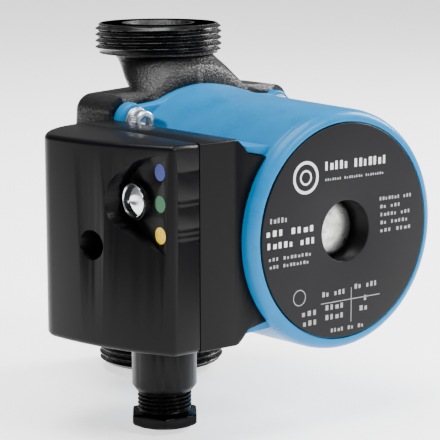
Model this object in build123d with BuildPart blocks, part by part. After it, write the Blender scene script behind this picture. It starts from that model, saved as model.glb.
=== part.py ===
from build123d import *
import os
from math import acos, atan2, cos, hypot, sin, sqrt

os.makedirs("parts", exist_ok=True)

# ---------------------------------------------------------------- driving dimensions (mm)
# The inlet port face is at Z = 0 and the pipe runs up +Z. The motor axis runs towards -Y at
# mid height; "depth" is the distance in front of the pipe axis. The control box is at -X.

# pipework
PORT_LENGTH = 130.0
PIPE_R = 12.5
THREAD_R = 23.9
THREAD_PITCH = 25.4 / 11
THREAD_TURNS = 4
COLLAR_LENGTH = 10.5
COLLAR_CHAMFER = 1.3
NECK_R = 19.0
NECK_SWEEP = 17.6
INLET_SWEEP = 9.0

# wet end
JOINT_DEPTH = 26.0
CASTING_HALF = 41.0
CASTING_BACK = 2.0
CASTING_ROUND = 5.0
BULGE_R = 38.0
BULGE_BACK = 28.0
BULGE_END_R = 23.0
CHAMBER_R = 34.0
CHAMBER_BACK = 9.0
SPIGOT_R = 37.5
IMPELLER_R = 27.0
EYE_R = 7.0
VANES = 6
VANE_T = 1.5

# motor head
FLANGE_HALF = 39.5
FLANGE_RISE = 1.4
FLANGE_T = 5.0
LUG_R = 6.5
DOME_R = 43.9
DOME_RUN = 12.0
POCKET_LENGTH = 9.0
MOTOR_R = 42.6
RIM_R = 41.4
RIM_ROUND = 4.0
MOTOR_FACE = 106.5
MOTOR_WALL = 6.1
PLATE_R = 37.0
PLATE_T = 1.2
PLATE_PROUD = 0.25
VENT_HOLE_R = 10.8
SCREW_R = 2.5
SCREW_HEAD_R = 4.25
SCREW_HEAD_H = 5.0
SCREW_SOCKET = 4.0
WASHER_R = 5.0
WASHER_T = 1.0

# rotor and can
SHAFT_R = 4.0
BUSH_R = 8.0
CAN_R = 17.5
CAN_T = 0.5
ROTOR_R = 15.0
SLEEVE_T = 0.6
CORE_BACK = 40.0
CORE_FRONT = 72.0
TEETH = 9
TOOTH_W = 6.0
YOKE_T = 6.0
COIL_T = 3.0
MAGNETS = 4
VENT_THREAD_R = 6.0
VENT_HEAD_R = 9.8
VENT_SUNK = 7.0
VENT_FACE = MOTOR_FACE - VENT_SUNK
VENT_HEAD_H = 4.0
VENT_PITCH = 1.0

# control box
BOX_HALF = 34.5
BOX_NEAR = 102.0
BOX_FAR = 31.0
BOX_INNER_X = 43.5
BOX_FAR_ROUND = 7.0
SEAM_X = 58.8
BOX_WALL = 2.2
BOX_ROUND = 0.8
FLOOR_X = 46.0
LID_CROWN_X = 84.7
LID_CROWN_AT = 46.0
LID_ARC_R = 112.0
LID_SHOULDER_AT = 51.0
LID_SHOULDER_ROUND = 9.0
LID_NEAR_ROUND = 2.1
LID_WALL = 2.6
LID_ROUND = 1.8
RECESS_X = 71.0
RECESS_NEAR = 100.0
RECESS_FLOOR_T = 2.0
BUTTON_R = 5.75
BUTTON_AT = 85.4
BUTTON_Z = 15.4
BUTTON_GUARD_T = 2.0
BUTTON_TRAVEL = 1.0
MARK_R = 2.75
MARK_AT = 96.9
MARK_PITCH = 10.3
LID_SCREW_AT = 72.6
LID_SCREW_Z = -0.2
LID_SCREW_HOLE_R = 5.0
SADDLE_BACK = 42.0
BOARD_T = 1.6
BOARD_X = 55.0

# cable gland
GLAND_X = 51.2
GLAND_AT = 71.5
GLAND_R = 11.1
GLAND_LENGTH = 19.4
GLAND_CHAMFER = 2.0
GLAND_THREAD_R = 9.3
GLAND_PITCH = 1.41
GLAND_FLATS = 22.0
GLAND_HEX_H = 4.1
GLAND_TURNED = 53.6
GLAND_STANDOUT = 7.9
GLAND_ENGAGED = 6.0
GLAND_TRAVEL = 5.6
CABLE_R = 5.5

# clearances
SEAT = 0.05
BEARING = 0.03
FREE = 0.3

# ---------------------------------------------------------------- derived positions
AXIS_Z = PORT_LENGTH / 2
THREAD_DEPTH = 0.640327 * THREAD_PITCH
FLANGE_FRONT = JOINT_DEPTH + FLANGE_T
LUG_AT = FLANGE_HALF - LUG_R
CAVITY_R = MOTOR_R - MOTOR_WALL
PLATE_BACK = MOTOR_FACE + PLATE_PROUD - PLATE_T
CAN_IN = CAN_R - CAN_T
CAN_END = MOTOR_FACE - 20.5
VENT_SEAT = VENT_FACE - VENT_HEAD_H
CAN_NOSE = VENT_SEAT - 2.5
NECK_TOP = AXIS_Z - COLLAR_LENGTH
BOX_BOTTOM = AXIS_Z - BOX_HALF
GLAND_MOUTH = BOX_BOTTOM - GLAND_LENGTH
LID_SEAM_X = SEAM_X + 0.4
BOARD_TOP = BOARD_X + BOARD_T
WELL_R = LID_SCREW_HOLE_R + 1.4

MOTOR_AXIS = Axis((0, 0, AXIS_Z), (0, -1, 0))
MOTOR_SECTION = Plane(origin=(0, 0, AXIS_Z), x_dir=(0, -1, 0), z_dir=(-1, 0, 0))
GLAND_AXIS = Axis((-GLAND_X, -GLAND_AT, 0), (0, 0, 1))
GLAND_SECTION = Plane(origin=(-GLAND_X, -GLAND_AT, 0), x_dir=(1, 0, 0), z_dir=(0, -1, 0))


# ---------------------------------------------------------------- helpers
def at_depth(depth):
    """Plane facing the front of the pump at a depth; its x is X and its y is Z."""
    return Plane(origin=(0, -depth, AXIS_Z), x_dir=(1, 0, 0), z_dir=(0, -1, 0))


def side_plane(offset, depth=0.0, height=0.0):
    """Plane facing -X at an offset to the box side; its x is depth and its y is Z."""
    return Plane(origin=(-offset, -depth, AXIS_Z + height), x_dir=(0, -1, 0), z_dir=(-1, 0, 0))


def section(plane, points):
    """Closed outline on a plane; a third value on a point rounds that corner."""
    with BuildSketch(plane) as outline:
        with BuildLine():
            Polyline(*[point[:2] for point in points], close=True)
        make_face()
        for point in points:
            if len(point) > 2:
                corner = outline.vertices().sort_by_distance((point[0], point[1], 0))[0]
                fillet(corner, radius=point[2])
    return outline.sketch


def motor_turned(points, mode=Mode.ADD):
    """Turn (depth, radius) points about the motor axis."""
    revolve(section(MOTOR_SECTION, points), axis=MOTOR_AXIS, mode=mode)


def gland_turned(points, mode=Mode.ADD):
    """Turn (radius, height) points about the gland axis."""
    revolve(section(GLAND_SECTION, points), axis=GLAND_AXIS, mode=mode)


def ring(start, end, inner, outer, mode=Mode.ADD):
    """Ring about the motor axis between two depths."""
    motor_turned([(start, inner), (end, inner), (end, outer), (start, outer)], mode)


def peg(plane, radius, length, mode=Mode.ADD):
    """Round peg standing on a plane."""
    with BuildSketch(plane) as base:
        Circle(radius)
    extrude(base.sketch, amount=length, mode=mode)


def slab(low, high, mode=Mode.ADD):
    """Block between two corners given as (X, depth, height about the motor axis)."""
    size = [abs(b - a) for a, b in zip(low, high)]
    middle = [(a + b) / 2 for a, b in zip(low, high)]
    with Locations((middle[0], -middle[1], AXIS_Z + middle[2])):
        Box(*size, mode=mode)


def bent_tube(stations, mode=Mode.ADD):
    """Smooth tube through (height about the motor axis, shift along Y, X radius, Y radius)."""
    rings = []
    for height, shift, across, deep in stations:
        with BuildSketch(Plane.XY.offset(AXIS_Z + height)) as station:
            with Locations((0, shift)):
                Ellipse(across, deep)
        rings.append(station.sketch.face())
    loft(rings, mode=mode)


def thread_points(start, turns, pitch, crest, root):
    """Zigzag (position, radius) points of a thread's section."""
    points = []
    for turn in range(turns):
        base = start + turn * pitch
        points += [(base, crest), (base + pitch / 2, root)]
    return points + [(start + turns * pitch, crest)]


def flange_outline(half):
    """Square outline with rounded lugs and sides that rise towards their middles."""
    rise = half + FLANGE_RISE
    shoulder = 0.47 * half
    quarter = [(shoulder, rise), (half, half, LUG_R), (rise, shoulder)]
    points = []
    for turn_x, turn_z in ((1, 1), (1, -1), (-1, -1), (-1, 1)):
        corner = [(x * turn_x, z * turn_z, *extra) for x, z, *extra in quarter]
        points += corner if turn_x * turn_z > 0 else corner[::-1]
    return points


def lug_places():
    """The four corner screw centres on the flange."""
    return GridLocations(2 * LUG_AT, 2 * LUG_AT, 2, 2)


def save(builder, name):
    """Label a finished sub-part and write its STEP file."""
    builder.part.label = name
    export_step(builder.part, f"parts/{name}.step")


# ---------------------------------------------------------------- wet end
OUTLET_NECK = [
    (NECK_TOP + 1, -0.06 * NECK_SWEEP, NECK_R, NECK_R),
    (NECK_TOP - 2.5, -0.30 * NECK_SWEEP, 0.99 * NECK_R, 0.97 * NECK_R),
    (NECK_TOP - 5.7, -0.56 * NECK_SWEEP, 1.08 * NECK_R, 0.95 * NECK_R),
    (NECK_TOP - 9.6, -0.82 * NECK_SWEEP, 1.20 * NECK_R, 0.87 * NECK_R),
    (NECK_TOP - 12.0, -NECK_SWEEP, 1.26 * NECK_R, 0.79 * NECK_R),
    (NECK_TOP - 20.0, -NECK_SWEEP, 1.37 * NECK_R, 0.74 * NECK_R),
]
INLET_NECK = [
    (-NECK_TOP - 1, 0.0, NECK_R - 0.5, NECK_R - 0.5),
    (4.5 - NECK_TOP, 0.23 * INLET_SWEEP, NECK_R - 1.5, NECK_R - 1.5),
    (9.5 - NECK_TOP, 0.6 * INLET_SWEEP, NECK_R - 1.5, NECK_R - 1.5),
    (17.0 - NECK_TOP, 0.9 * INLET_SWEEP, NECK_R - 1, NECK_R - 1),
    (40.0 - NECK_TOP, INLET_SWEEP, NECK_R - 1, NECK_R - 1),
]
COLLAR_LIP = (PORT_LENGTH, THREAD_R - COLLAR_CHAMFER)
COLLAR_FOOT = PORT_LENGTH - COLLAR_CHAMFER - THREAD_TURNS * THREAD_PITCH

with BuildPart() as pump_housing:
    extrude(section(at_depth(CASTING_BACK), flange_outline(CASTING_HALF)), amount=JOINT_DEPTH - CASTING_BACK)
    fillet(faces().sort_by(Axis.Y)[-1].edges(), radius=CASTING_ROUND)
    motor_turned([
        (CASTING_BACK + CASTING_ROUND + 1, 0),
        (CASTING_BACK + CASTING_ROUND + 1, BULGE_R),
        (-BULGE_BACK / 2.5, BULGE_R - 3.5, 12),
        (-BULGE_BACK, BULGE_END_R, 8),
        (-BULGE_BACK, 0),
    ])
    bent_tube(OUTLET_NECK)
    bent_tube(INLET_NECK)
    threads = thread_points(COLLAR_FOOT, THREAD_TURNS, THREAD_PITCH, THREAD_R, THREAD_R - THREAD_DEPTH)
    root = THREAD_R - THREAD_DEPTH
    collar_foot = [(root, AXIS_Z + NECK_TOP + 0.9), (NECK_R, AXIS_Z + NECK_TOP - 0.9)]
    outlet = [(r, z) for z, r in threads + [COLLAR_LIP]] + [(0, PORT_LENGTH)]
    outlet += [(0, collar_foot[1][1]), collar_foot[1], collar_foot[0], (root, COLLAR_FOOT - 0.6)]
    inlet = [(r, PORT_LENGTH - z) for r, z in outlet]
    for collar in (outlet, inlet):
        revolve(section(Plane.XZ, collar), axis=Axis.Z)
    # waterway
    ring(CHAMBER_BACK, JOINT_DEPTH, 0, CHAMBER_R, Mode.SUBTRACT)
    ring(JOINT_DEPTH - 2.5, JOINT_DEPTH, 0, SPIGOT_R, Mode.SUBTRACT)
    for face_z, way in ((PORT_LENGTH, -1), (0.0, 1)):
        with Locations((0, 0, face_z + way * COLLAR_LENGTH / 2)):
            Cylinder(PIPE_R, COLLAR_LENGTH, mode=Mode.SUBTRACT)
    outlet_way = [
        (NECK_TOP, 0.0, PIPE_R),
        (NECK_TOP - 4.5, -0.43 * NECK_SWEEP, PIPE_R - 1),
        (NECK_TOP - 9.5, -0.71 * NECK_SWEEP, PIPE_R - 2.5),
        (NECK_TOP - 14.5, -0.85 * NECK_SWEEP, PIPE_R - 4),
        (CHAMBER_R - 6, -(CHAMBER_BACK + JOINT_DEPTH) / 2, (JOINT_DEPTH - CHAMBER_BACK) / 2 - 1),
    ]
    INLET_R = PIPE_R - 1.5
    inlet_way = [
        (-NECK_TOP, 0.0, PIPE_R),
        (9.5 - NECK_TOP, 0.6 * INLET_SWEEP, PIPE_R - 0.5),
        (20.0 - NECK_TOP, INLET_SWEEP, INLET_R),
        (0.0, INLET_SWEEP, INLET_R),
    ]
    for way in (outlet_way, inlet_way):
        bent_tube([(height, shift, radius, radius) for height, shift, radius in way], Mode.SUBTRACT)
    with Locations((0, INLET_SWEEP, AXIS_Z)):
        Sphere(INLET_R, mode=Mode.SUBTRACT)
    ring(-INLET_SWEEP, CHAMBER_BACK, 0, EYE_R + 1.5, Mode.SUBTRACT)
    ring(CHAMBER_BACK - 4.5, CHAMBER_BACK, 0, EYE_R + 3.5, Mode.SUBTRACT)
    slab((-PORT_LENGTH, JOINT_DEPTH, -PORT_LENGTH), (PORT_LENGTH, 2 * JOINT_DEPTH, PORT_LENGTH), Mode.SUBTRACT)
    # threaded holes for the flange screws
    with BuildSketch(at_depth(JOINT_DEPTH - 16)):
        with lug_places():
            Circle(SCREW_R)
    extrude(amount=16, mode=Mode.SUBTRACT)
save(pump_housing, "pump_housing")

with BuildPart() as wear_ring:
    ring(CHAMBER_BACK - 4.5, CHAMBER_BACK, EYE_R + 1.5 + FREE, EYE_R + 3.5)
save(wear_ring, "wear_ring")

GASKET_T = 0.8
with BuildPart() as housing_gasket:
    ring(JOINT_DEPTH - 2.5, JOINT_DEPTH - 2.5 + GASKET_T, CHAMBER_R + 0.5, SPIGOT_R)
save(housing_gasket, "housing_gasket")

with BuildPart() as bearing_plate:
    ring(JOINT_DEPTH - 2.5 + GASKET_T, JOINT_DEPTH - 0.7, BUSH_R, SPIGOT_R)
    ring(JOINT_DEPTH - 0.7, JOINT_DEPTH + 7, BUSH_R, BUSH_R + 2.5)
    with BuildSketch(at_depth(JOINT_DEPTH - 2.5)) as weep_holes:
        with PolarLocations(BUSH_R + 5.5, 3):
            Circle(1.5)
    extrude(weep_holes.sketch, amount=3, mode=Mode.SUBTRACT)
save(bearing_plate, "bearing_plate")

with BuildPart() as front_bearing:
    ring(JOINT_DEPTH - 2.5 + GASKET_T, JOINT_DEPTH + 7, SHAFT_R + BEARING, BUSH_R)
save(front_bearing, "front_bearing")

# ---------------------------------------------------------------- rotor
IMPELLER_BACK = CHAMBER_BACK + 2
SHROUD_T = 1.8
IMPELLER_FRONT = JOINT_DEPTH - 4
REAR_BUSH_FRONT = CAN_END - 2
REAR_BUSH_BACK = REAR_BUSH_FRONT - 8
ROTOR_BACK = CORE_BACK - 1
ROTOR_FRONT = CORE_FRONT - 1

with BuildPart() as shaft:
    motor_turned([
        (IMPELLER_BACK + SHROUD_T, 0),
        (IMPELLER_BACK + SHROUD_T, SHAFT_R - 0.6),
        (IMPELLER_BACK + SHROUD_T + 0.6, SHAFT_R),
        (REAR_BUSH_FRONT - 1.2, SHAFT_R),
        (REAR_BUSH_FRONT - 0.6, SHAFT_R - 0.6),
        (REAR_BUSH_FRONT - 0.6, 0),
    ])
save(shaft, "shaft")

with BuildPart() as impeller:
    ring(IMPELLER_FRONT - SHROUD_T, IMPELLER_FRONT, SHAFT_R, IMPELLER_R)
    ring(IMPELLER_BACK + SHROUD_T, IMPELLER_FRONT - SHROUD_T, SHAFT_R, SHAFT_R + 2)
    with BuildLine(mode=Mode.PRIVATE) as vane_line:
        ThreePointArc((EYE_R + 1.5, 0), (IMPELLER_R * 0.66, -3.5), (IMPELLER_R - 1.5, -11))
    with BuildSketch(at_depth(IMPELLER_BACK + SHROUD_T)) as vane_faces:
        with PolarLocations(0, VANES):
            SlotArc(vane_line.edge(), VANE_T)
        Circle(IMPELLER_R, mode=Mode.INTERSECT)
    extrude(vane_faces.sketch, amount=IMPELLER_FRONT - IMPELLER_BACK - 2 * SHROUD_T)
save(impeller, "impeller")

with BuildPart() as impeller_shroud:
    motor_turned([
        (CHAMBER_BACK - 3.5, EYE_R),
        (IMPELLER_BACK + SHROUD_T, EYE_R),
        (IMPELLER_BACK + SHROUD_T, IMPELLER_R),
        (IMPELLER_BACK + 0.4, IMPELLER_R),
        (IMPELLER_BACK, EYE_R + 3.5),
        (IMPELLER_BACK, EYE_R + 1.5),
        (CHAMBER_BACK - 3.5, EYE_R + 1.5),
    ])
save(impeller_shroud, "impeller_shroud")

with BuildPart() as thrust_bearing:
    ring(JOINT_DEPTH + 7.4, JOINT_DEPTH + 10, SHAFT_R, BUSH_R)
save(thrust_bearing, "thrust_bearing")

MAGNET_W = ROTOR_R * 0.95
MAGNET_T = 3.0
MAGNET_AT = ROTOR_R * 0.62


def magnet_faces(grow=0.0):
    """Magnet cross-sections around the shaft."""
    with PolarLocations(MAGNET_AT, MAGNETS):
        Rectangle(MAGNET_T + grow, MAGNET_W + grow)


with BuildPart() as rotor_core:
    ring(ROTOR_BACK, ROTOR_FRONT, SHAFT_R, ROTOR_R)
    with BuildSketch(at_depth(ROTOR_BACK)) as pockets:
        magnet_faces()
    extrude(pockets.sketch, amount=ROTOR_FRONT - ROTOR_BACK, mode=Mode.SUBTRACT)
save(rotor_core, "rotor_core")

with BuildPart() as rotor_magnets:
    with BuildSketch(at_depth(ROTOR_BACK)) as magnet_ends:
        magnet_faces()
    extrude(magnet_ends.sketch, amount=ROTOR_FRONT - ROTOR_BACK)
save(rotor_magnets, "rotor_magnets")

with BuildPart() as rotor_sleeve:
    ring(ROTOR_BACK - SLEEVE_T, ROTOR_FRONT + SLEEVE_T, SHAFT_R, ROTOR_R + SLEEVE_T)
    ring(ROTOR_BACK, ROTOR_FRONT, SHAFT_R, ROTOR_R, Mode.SUBTRACT)
save(rotor_sleeve, "rotor_sleeve")

# ---------------------------------------------------------------- can, bearings and stator
NOSE_R = VENT_THREAD_R + 3
NOSE_TUBE_R = VENT_HOLE_R + 3.2
with BuildPart() as rotor_can:
    ring(JOINT_DEPTH - 0.7, JOINT_DEPTH, CAN_R, SPIGOT_R)
    ring(JOINT_DEPTH - 0.7, CAN_END, CAN_IN, CAN_R)
    ring(REAR_BUSH_FRONT, CAN_END, VENT_THREAD_R + SEAT, CAN_R)
    ring(REAR_BUSH_BACK, REAR_BUSH_FRONT, BUSH_R, BUSH_R + 2)
    ring(CAN_END, CAN_NOSE, VENT_THREAD_R + SEAT, NOSE_R)
save(rotor_can, "rotor_can")

with BuildPart() as rear_bearing:
    ring(REAR_BUSH_BACK, REAR_BUSH_FRONT, SHAFT_R + BEARING, BUSH_R)
save(rear_bearing, "rear_bearing")

with BuildPart() as can_seal:
    ring(CAN_END + 2, CAN_END + 4.5, NOSE_R, VENT_HOLE_R)
save(can_seal, "can_seal")

TOOTH_TIP_R = CAN_R + 0.1
YOKE_IN = CAVITY_R - YOKE_T
TOOTH_MID = (TOOTH_TIP_R + YOKE_IN) / 2
TOOTH_RUN = YOKE_IN - TOOTH_TIP_R
COIL_RUN = TOOTH_RUN - 4.5
COIL_IN = YOKE_IN - 0.8 - COIL_RUN / 2

with BuildPart() as stator_core:
    with BuildSketch(at_depth(CORE_BACK)) as lamination:
        Circle(CAVITY_R)
        Circle(YOKE_IN, mode=Mode.SUBTRACT)
        with PolarLocations(TOOTH_MID + 1, TEETH):
            Rectangle(TOOTH_RUN + 2, TOOTH_W)
        with PolarLocations(TOOTH_TIP_R + 1, TEETH):
            Rectangle(3, TOOTH_W + 3.6)
        Circle(TOOTH_TIP_R, mode=Mode.SUBTRACT)
    extrude(lamination.sketch, amount=CORE_FRONT - CORE_BACK)
save(stator_core, "stator_core")

INSULATOR_T = 1.0
with BuildPart() as stator_windings:
    wound = CORE_FRONT - CORE_BACK + 2 * (INSULATOR_T + COIL_T)
    core = CORE_FRONT - CORE_BACK + 2 * INSULATOR_T
    with BuildSketch(at_depth(CORE_BACK - INSULATOR_T - COIL_T)) as coil_faces:
        with PolarLocations(COIL_IN, TEETH):
            RectangleRounded(COIL_RUN, TOOTH_W + 2 * COIL_T, 0.8)
    extrude(coil_faces.sketch, amount=wound)
    with BuildSketch(at_depth(CORE_BACK - INSULATOR_T)) as tooth_faces:
        with PolarLocations(COIL_IN, TEETH):
            Rectangle(COIL_RUN + 1, TOOTH_W)
    extrude(tooth_faces.sketch, amount=core, mode=Mode.SUBTRACT)
save(stator_windings, "stator_windings")

with BuildPart() as winding_insulators:
    for start in (CORE_BACK - INSULATOR_T, CORE_FRONT):
        with BuildSketch(at_depth(start)) as insulator:
            Circle(CAVITY_R - 1)
            Circle(YOKE_IN, mode=Mode.SUBTRACT)
            with PolarLocations(TOOTH_MID + 1, TEETH):
                Rectangle(TOOTH_RUN + 2, TOOTH_W)
            Circle(TOOTH_TIP_R + 0.5, mode=Mode.SUBTRACT)
        extrude(insulator.sketch, amount=INSULATOR_T)
save(winding_insulators, "winding_insulators")

# ---------------------------------------------------------------- motor housing
# The pads under the control box run tangentially from the round body to the pad corner.
PAD_CORNER = (-38.2, 31.2)
PAD_FOOT = [(-38.8, 29.5), (-31.2, 27.9)]
pad_reach = hypot(*PAD_CORNER)
tangent_angle = atan2(PAD_CORNER[1], PAD_CORNER[0]) - acos(RIM_R / pad_reach)
PAD_TANGENT = (RIM_R * cos(tangent_angle), RIM_R * sin(tangent_angle))
PAD = PAD_FOOT + [(-24, 26), (PAD_TANGENT[0] + 1, PAD_TANGENT[1] - 4), PAD_TANGENT, PAD_CORNER]
BOX_SCREW_AT = 50.0
BOX_SCREW_Z = 20.0
BOX_SCREW_R = 1.75
PLUG_LOW = (-(FLOOR_X + 5), 78.0, -6.0)
PLUG_HIGH = (-(CAVITY_R + 0.7), 90.0, 6.0)


def motor_outline(grow=0.0):
    """(depth, radius) points of the motor body's outside, grown outwards."""
    return [
        (JOINT_DEPTH, 0),
        (JOINT_DEPTH, DOME_R + grow),
        (FLANGE_FRONT, DOME_R + grow, 4),
        (FLANGE_FRONT + DOME_RUN, MOTOR_R + grow, 12),
        (MOTOR_FACE, RIM_R + grow, RIM_ROUND),
        (MOTOR_FACE, 0),
    ]


with BuildPart() as motor_housing:
    extrude(section(at_depth(JOINT_DEPTH), flange_outline(FLANGE_HALF)), amount=FLANGE_T)
    motor_turned(motor_outline())
    for side in (1, -1):
        with BuildSketch(at_depth(SADDLE_BACK)) as pad:
            with BuildLine():
                Polyline(*[(x, side * z) for x, z in PAD], close=True)
            make_face()
        extrude(pad.sketch, amount=BOX_NEAR - SADDLE_BACK - 1)
    with BuildSketch(at_depth(FLANGE_FRONT)) as screw_pockets:
        with lug_places():
            Circle(WASHER_R + 0.6)
    extrude(screw_pockets.sketch, amount=POCKET_LENGTH, mode=Mode.SUBTRACT)
    with Locations(at_depth(FLANGE_FRONT + POCKET_LENGTH)):
        with lug_places():
            Sphere(WASHER_R + 0.6, mode=Mode.SUBTRACT)
    with BuildSketch(at_depth(JOINT_DEPTH)) as screw_holes:
        with lug_places():
            Circle(SCREW_R + 0.25)
    extrude(screw_holes.sketch, amount=FLANGE_T, mode=Mode.SUBTRACT)
    motor_turned([
        (JOINT_DEPTH, 0),
        (JOINT_DEPTH, CAVITY_R),
        (MOTOR_FACE - 8.5, CAVITY_R, 3),
        (MOTOR_FACE - 8.5, NOSE_TUBE_R, 1),
        (CAN_END + 0.5, NOSE_TUBE_R),
        (CAN_END + 0.5, 0),
    ], Mode.SUBTRACT)
    ring(CAN_END, MOTOR_FACE, 0, VENT_HOLE_R, Mode.SUBTRACT)
    ring(PLATE_BACK, MOTOR_FACE, 0, PLATE_R + 0.4, Mode.SUBTRACT)
    slab(PLUG_LOW, PLUG_HIGH, Mode.SUBTRACT)
    for side in (1, -1):
        peg(side_plane(CAVITY_R - 2, BOX_SCREW_AT, side * BOX_SCREW_Z), BOX_SCREW_R, 12, Mode.SUBTRACT)
save(motor_housing, "motor_housing")

with BuildPart() as screw_washers:
    with BuildSketch(at_depth(FLANGE_FRONT)) as washer_faces:
        with lug_places():
            Circle(WASHER_R)
            Circle(SCREW_R, mode=Mode.SUBTRACT)
    extrude(washer_faces.sketch, amount=WASHER_T)
save(screw_washers, "screw_washers")

with BuildPart() as motor_screws:
    with BuildSketch(at_depth(FLANGE_FRONT + WASHER_T)) as heads:
        with lug_places():
            Circle(SCREW_HEAD_R)
    extrude(heads.sketch, amount=SCREW_HEAD_H)
    chamfer(edges().group_by(Axis.Y)[0], length=0.4)
    with BuildSketch(at_depth(JOINT_DEPTH - 15)) as shanks:
        with lug_places():
            Circle(SCREW_R)
    extrude(shanks.sketch, amount=15 + FLANGE_T + WASHER_T)
    with BuildSketch(at_depth(FLANGE_FRONT + WASHER_T + SCREW_HEAD_H - 2.8)) as sockets:
        with lug_places():
            RegularPolygon(SCREW_SOCKET / 2, 6, major_radius=False)
    extrude(sockets.sketch, amount=3, mode=Mode.SUBTRACT)
save(motor_screws, "motor_screws")

with BuildPart() as nameplate:
    ring(PLATE_BACK, PLATE_BACK + PLATE_T, VENT_HOLE_R, PLATE_R)
save(nameplate, "nameplate")

with BuildPart() as vent_seal:
    ring(CAN_NOSE + FREE, VENT_SEAT - FREE, VENT_THREAD_R + 0.6, NOSE_R - 0.2)
save(vent_seal, "vent_seal")

VENT_TIP = CAN_END + 0.6
VENT_TURNS = int((CAN_NOSE - VENT_TIP - 1) / VENT_PITCH)
with BuildPart() as vent_screw:
    motor_turned(
        [(VENT_TIP, 0), (VENT_TIP, VENT_THREAD_R - 0.6)]
        + thread_points(VENT_TIP + 0.6, VENT_TURNS, VENT_PITCH, VENT_THREAD_R, VENT_THREAD_R - 0.5)
        + [(CAN_NOSE - 0.2, VENT_THREAD_R - 0.5), (VENT_SEAT, VENT_THREAD_R - 0.5)]
        + [(VENT_SEAT, VENT_HEAD_R), (VENT_FACE, VENT_HEAD_R, 1.8), (VENT_FACE, 0)]
    )
save(vent_screw, "vent_screw")

# ---------------------------------------------------------------- control box base
POST_R = 4.0
GLAND_BORE_TOP = BOX_BOTTOM - 3.5
BOARD_POSTS = [(36.0, 27.0), (96.0, 27.0), (36.0, -8.0)]
INNER_LOW = (-SEAM_X, BOX_FAR + BOX_WALL, -BOX_HALF + BOX_WALL)
INNER_HIGH = (-FLOOR_X, BOX_NEAR - BOX_WALL, BOX_HALF - BOX_WALL)
SADDLE_SIDE = [(-45.0, 34.2), (-43.0, 34.0), (-41.0, 32.2), (-38.8, 29.5), (-31.2, 27.9)]

with BuildPart() as control_box_base:
    with BuildSketch(Plane.XY.offset(BOX_BOTTOM)) as plan:
        add(section(Plane.XY, [
            (-SEAM_X, -BOX_NEAR),
            (-SEAM_X, -BOX_FAR),
            (-BOX_INNER_X, -BOX_FAR, BOX_FAR_ROUND),
            (-BOX_INNER_X, -BOX_NEAR),
        ]))
    extrude(plan.sketch, amount=2 * BOX_HALF)
    fillet(faces().sort_by(Axis.Y)[0].edges().filter_by(Axis.X), radius=BOX_ROUND)
    with BuildSketch(at_depth(SADDLE_BACK)) as saddle:
        with BuildLine():
            Polyline(*SADDLE_SIDE, *[(x, -z) for x, z in reversed(SADDLE_SIDE)], close=True)
        make_face()
    extrude(saddle.sketch, amount=BOX_NEAR - SADDLE_BACK)
    motor_turned([
        (JOINT_DEPTH, 0),
        (JOINT_DEPTH, DOME_R + FREE),
        (FLANGE_FRONT + DOME_RUN, DOME_R + FREE),
        (FLANGE_FRONT + DOME_RUN + 3, MOTOR_R + FREE),
        (MOTOR_FACE, RIM_R + FREE),
        (MOTOR_FACE, 0),
    ], Mode.SUBTRACT)
    slab(INNER_LOW, INNER_HIGH, Mode.SUBTRACT)
    # cable gland boss, kept clear of the lid above its outer side
    gland_turned([
        (0, BOX_BOTTOM + 1),
        (GLAND_R - 4, BOX_BOTTOM + 1),
        (GLAND_R - 4, BOX_BOTTOM - 0.5),
        (GLAND_R, BOX_BOTTOM - 0.5),
        (GLAND_R, GLAND_MOUTH + GLAND_CHAMFER),
        (GLAND_R - 0.7 * GLAND_CHAMFER, GLAND_MOUTH),
        (0, GLAND_MOUTH),
    ])
    gland_turned([
        (0, BOX_BOTTOM + BOX_WALL + 1),
        (CABLE_R + 0.5, BOX_BOTTOM + BOX_WALL + 1),
        (CABLE_R + 0.5, GLAND_BORE_TOP),
        (GLAND_THREAD_R + SEAT, GLAND_BORE_TOP),
        (GLAND_THREAD_R + SEAT, GLAND_MOUTH),
        (0, GLAND_MOUTH),
    ], Mode.SUBTRACT)
    # posts for the lid screw and the circuit board
    peg(side_plane(FLOOR_X, LID_SCREW_AT, LID_SCREW_Z), POST_R, SEAM_X - FLOOR_X)
    peg(side_plane(FLOOR_X, LID_SCREW_AT, LID_SCREW_Z), 1.55, SEAM_X - FLOOR_X, Mode.SUBTRACT)
    for depth, height in BOARD_POSTS:
        peg(side_plane(FLOOR_X - 0.5, depth, height), 2.2, BOARD_X - FLOOR_X + 0.5)
    slab(PLUG_LOW, PLUG_HIGH, Mode.SUBTRACT)
    for side in (1, -1):
        peg(side_plane(CAVITY_R - 2, BOX_SCREW_AT, side * BOX_SCREW_Z), BOX_SCREW_R, 14, Mode.SUBTRACT)
save(control_box_base, "control_box_base")

with BuildPart() as box_screws:
    for side in (1, -1):
        peg(side_plane(FLOOR_X, BOX_SCREW_AT, side * BOX_SCREW_Z), 3.0, 2.4)
        peg(side_plane(FLOOR_X - 9.5, BOX_SCREW_AT, side * BOX_SCREW_Z), BOX_SCREW_R, 9.5)
        slab(
            (-FLOOR_X - 2.4, BOX_SCREW_AT - 3, side * BOX_SCREW_Z - 0.4),
            (-FLOOR_X - 1.4, BOX_SCREW_AT + 3, side * BOX_SCREW_Z + 0.4),
            Mode.SUBTRACT,
        )
save(box_screws, "box_screws")

with BuildPart() as motor_plug:
    slab(PLUG_LOW, PLUG_HIGH)
save(motor_plug, "motor_plug")

with BuildPart() as lid_gasket:
    slab((-LID_SEAM_X, BOX_FAR + 0.6, 0.6 - BOX_HALF), (-SEAM_X, BOX_NEAR - 0.6, BOX_HALF - 0.6))
    slab((-LID_SEAM_X, *INNER_LOW[1:]), (-SEAM_X, *INNER_HIGH[1:]), Mode.SUBTRACT)
save(lid_gasket, "lid_gasket")

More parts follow.
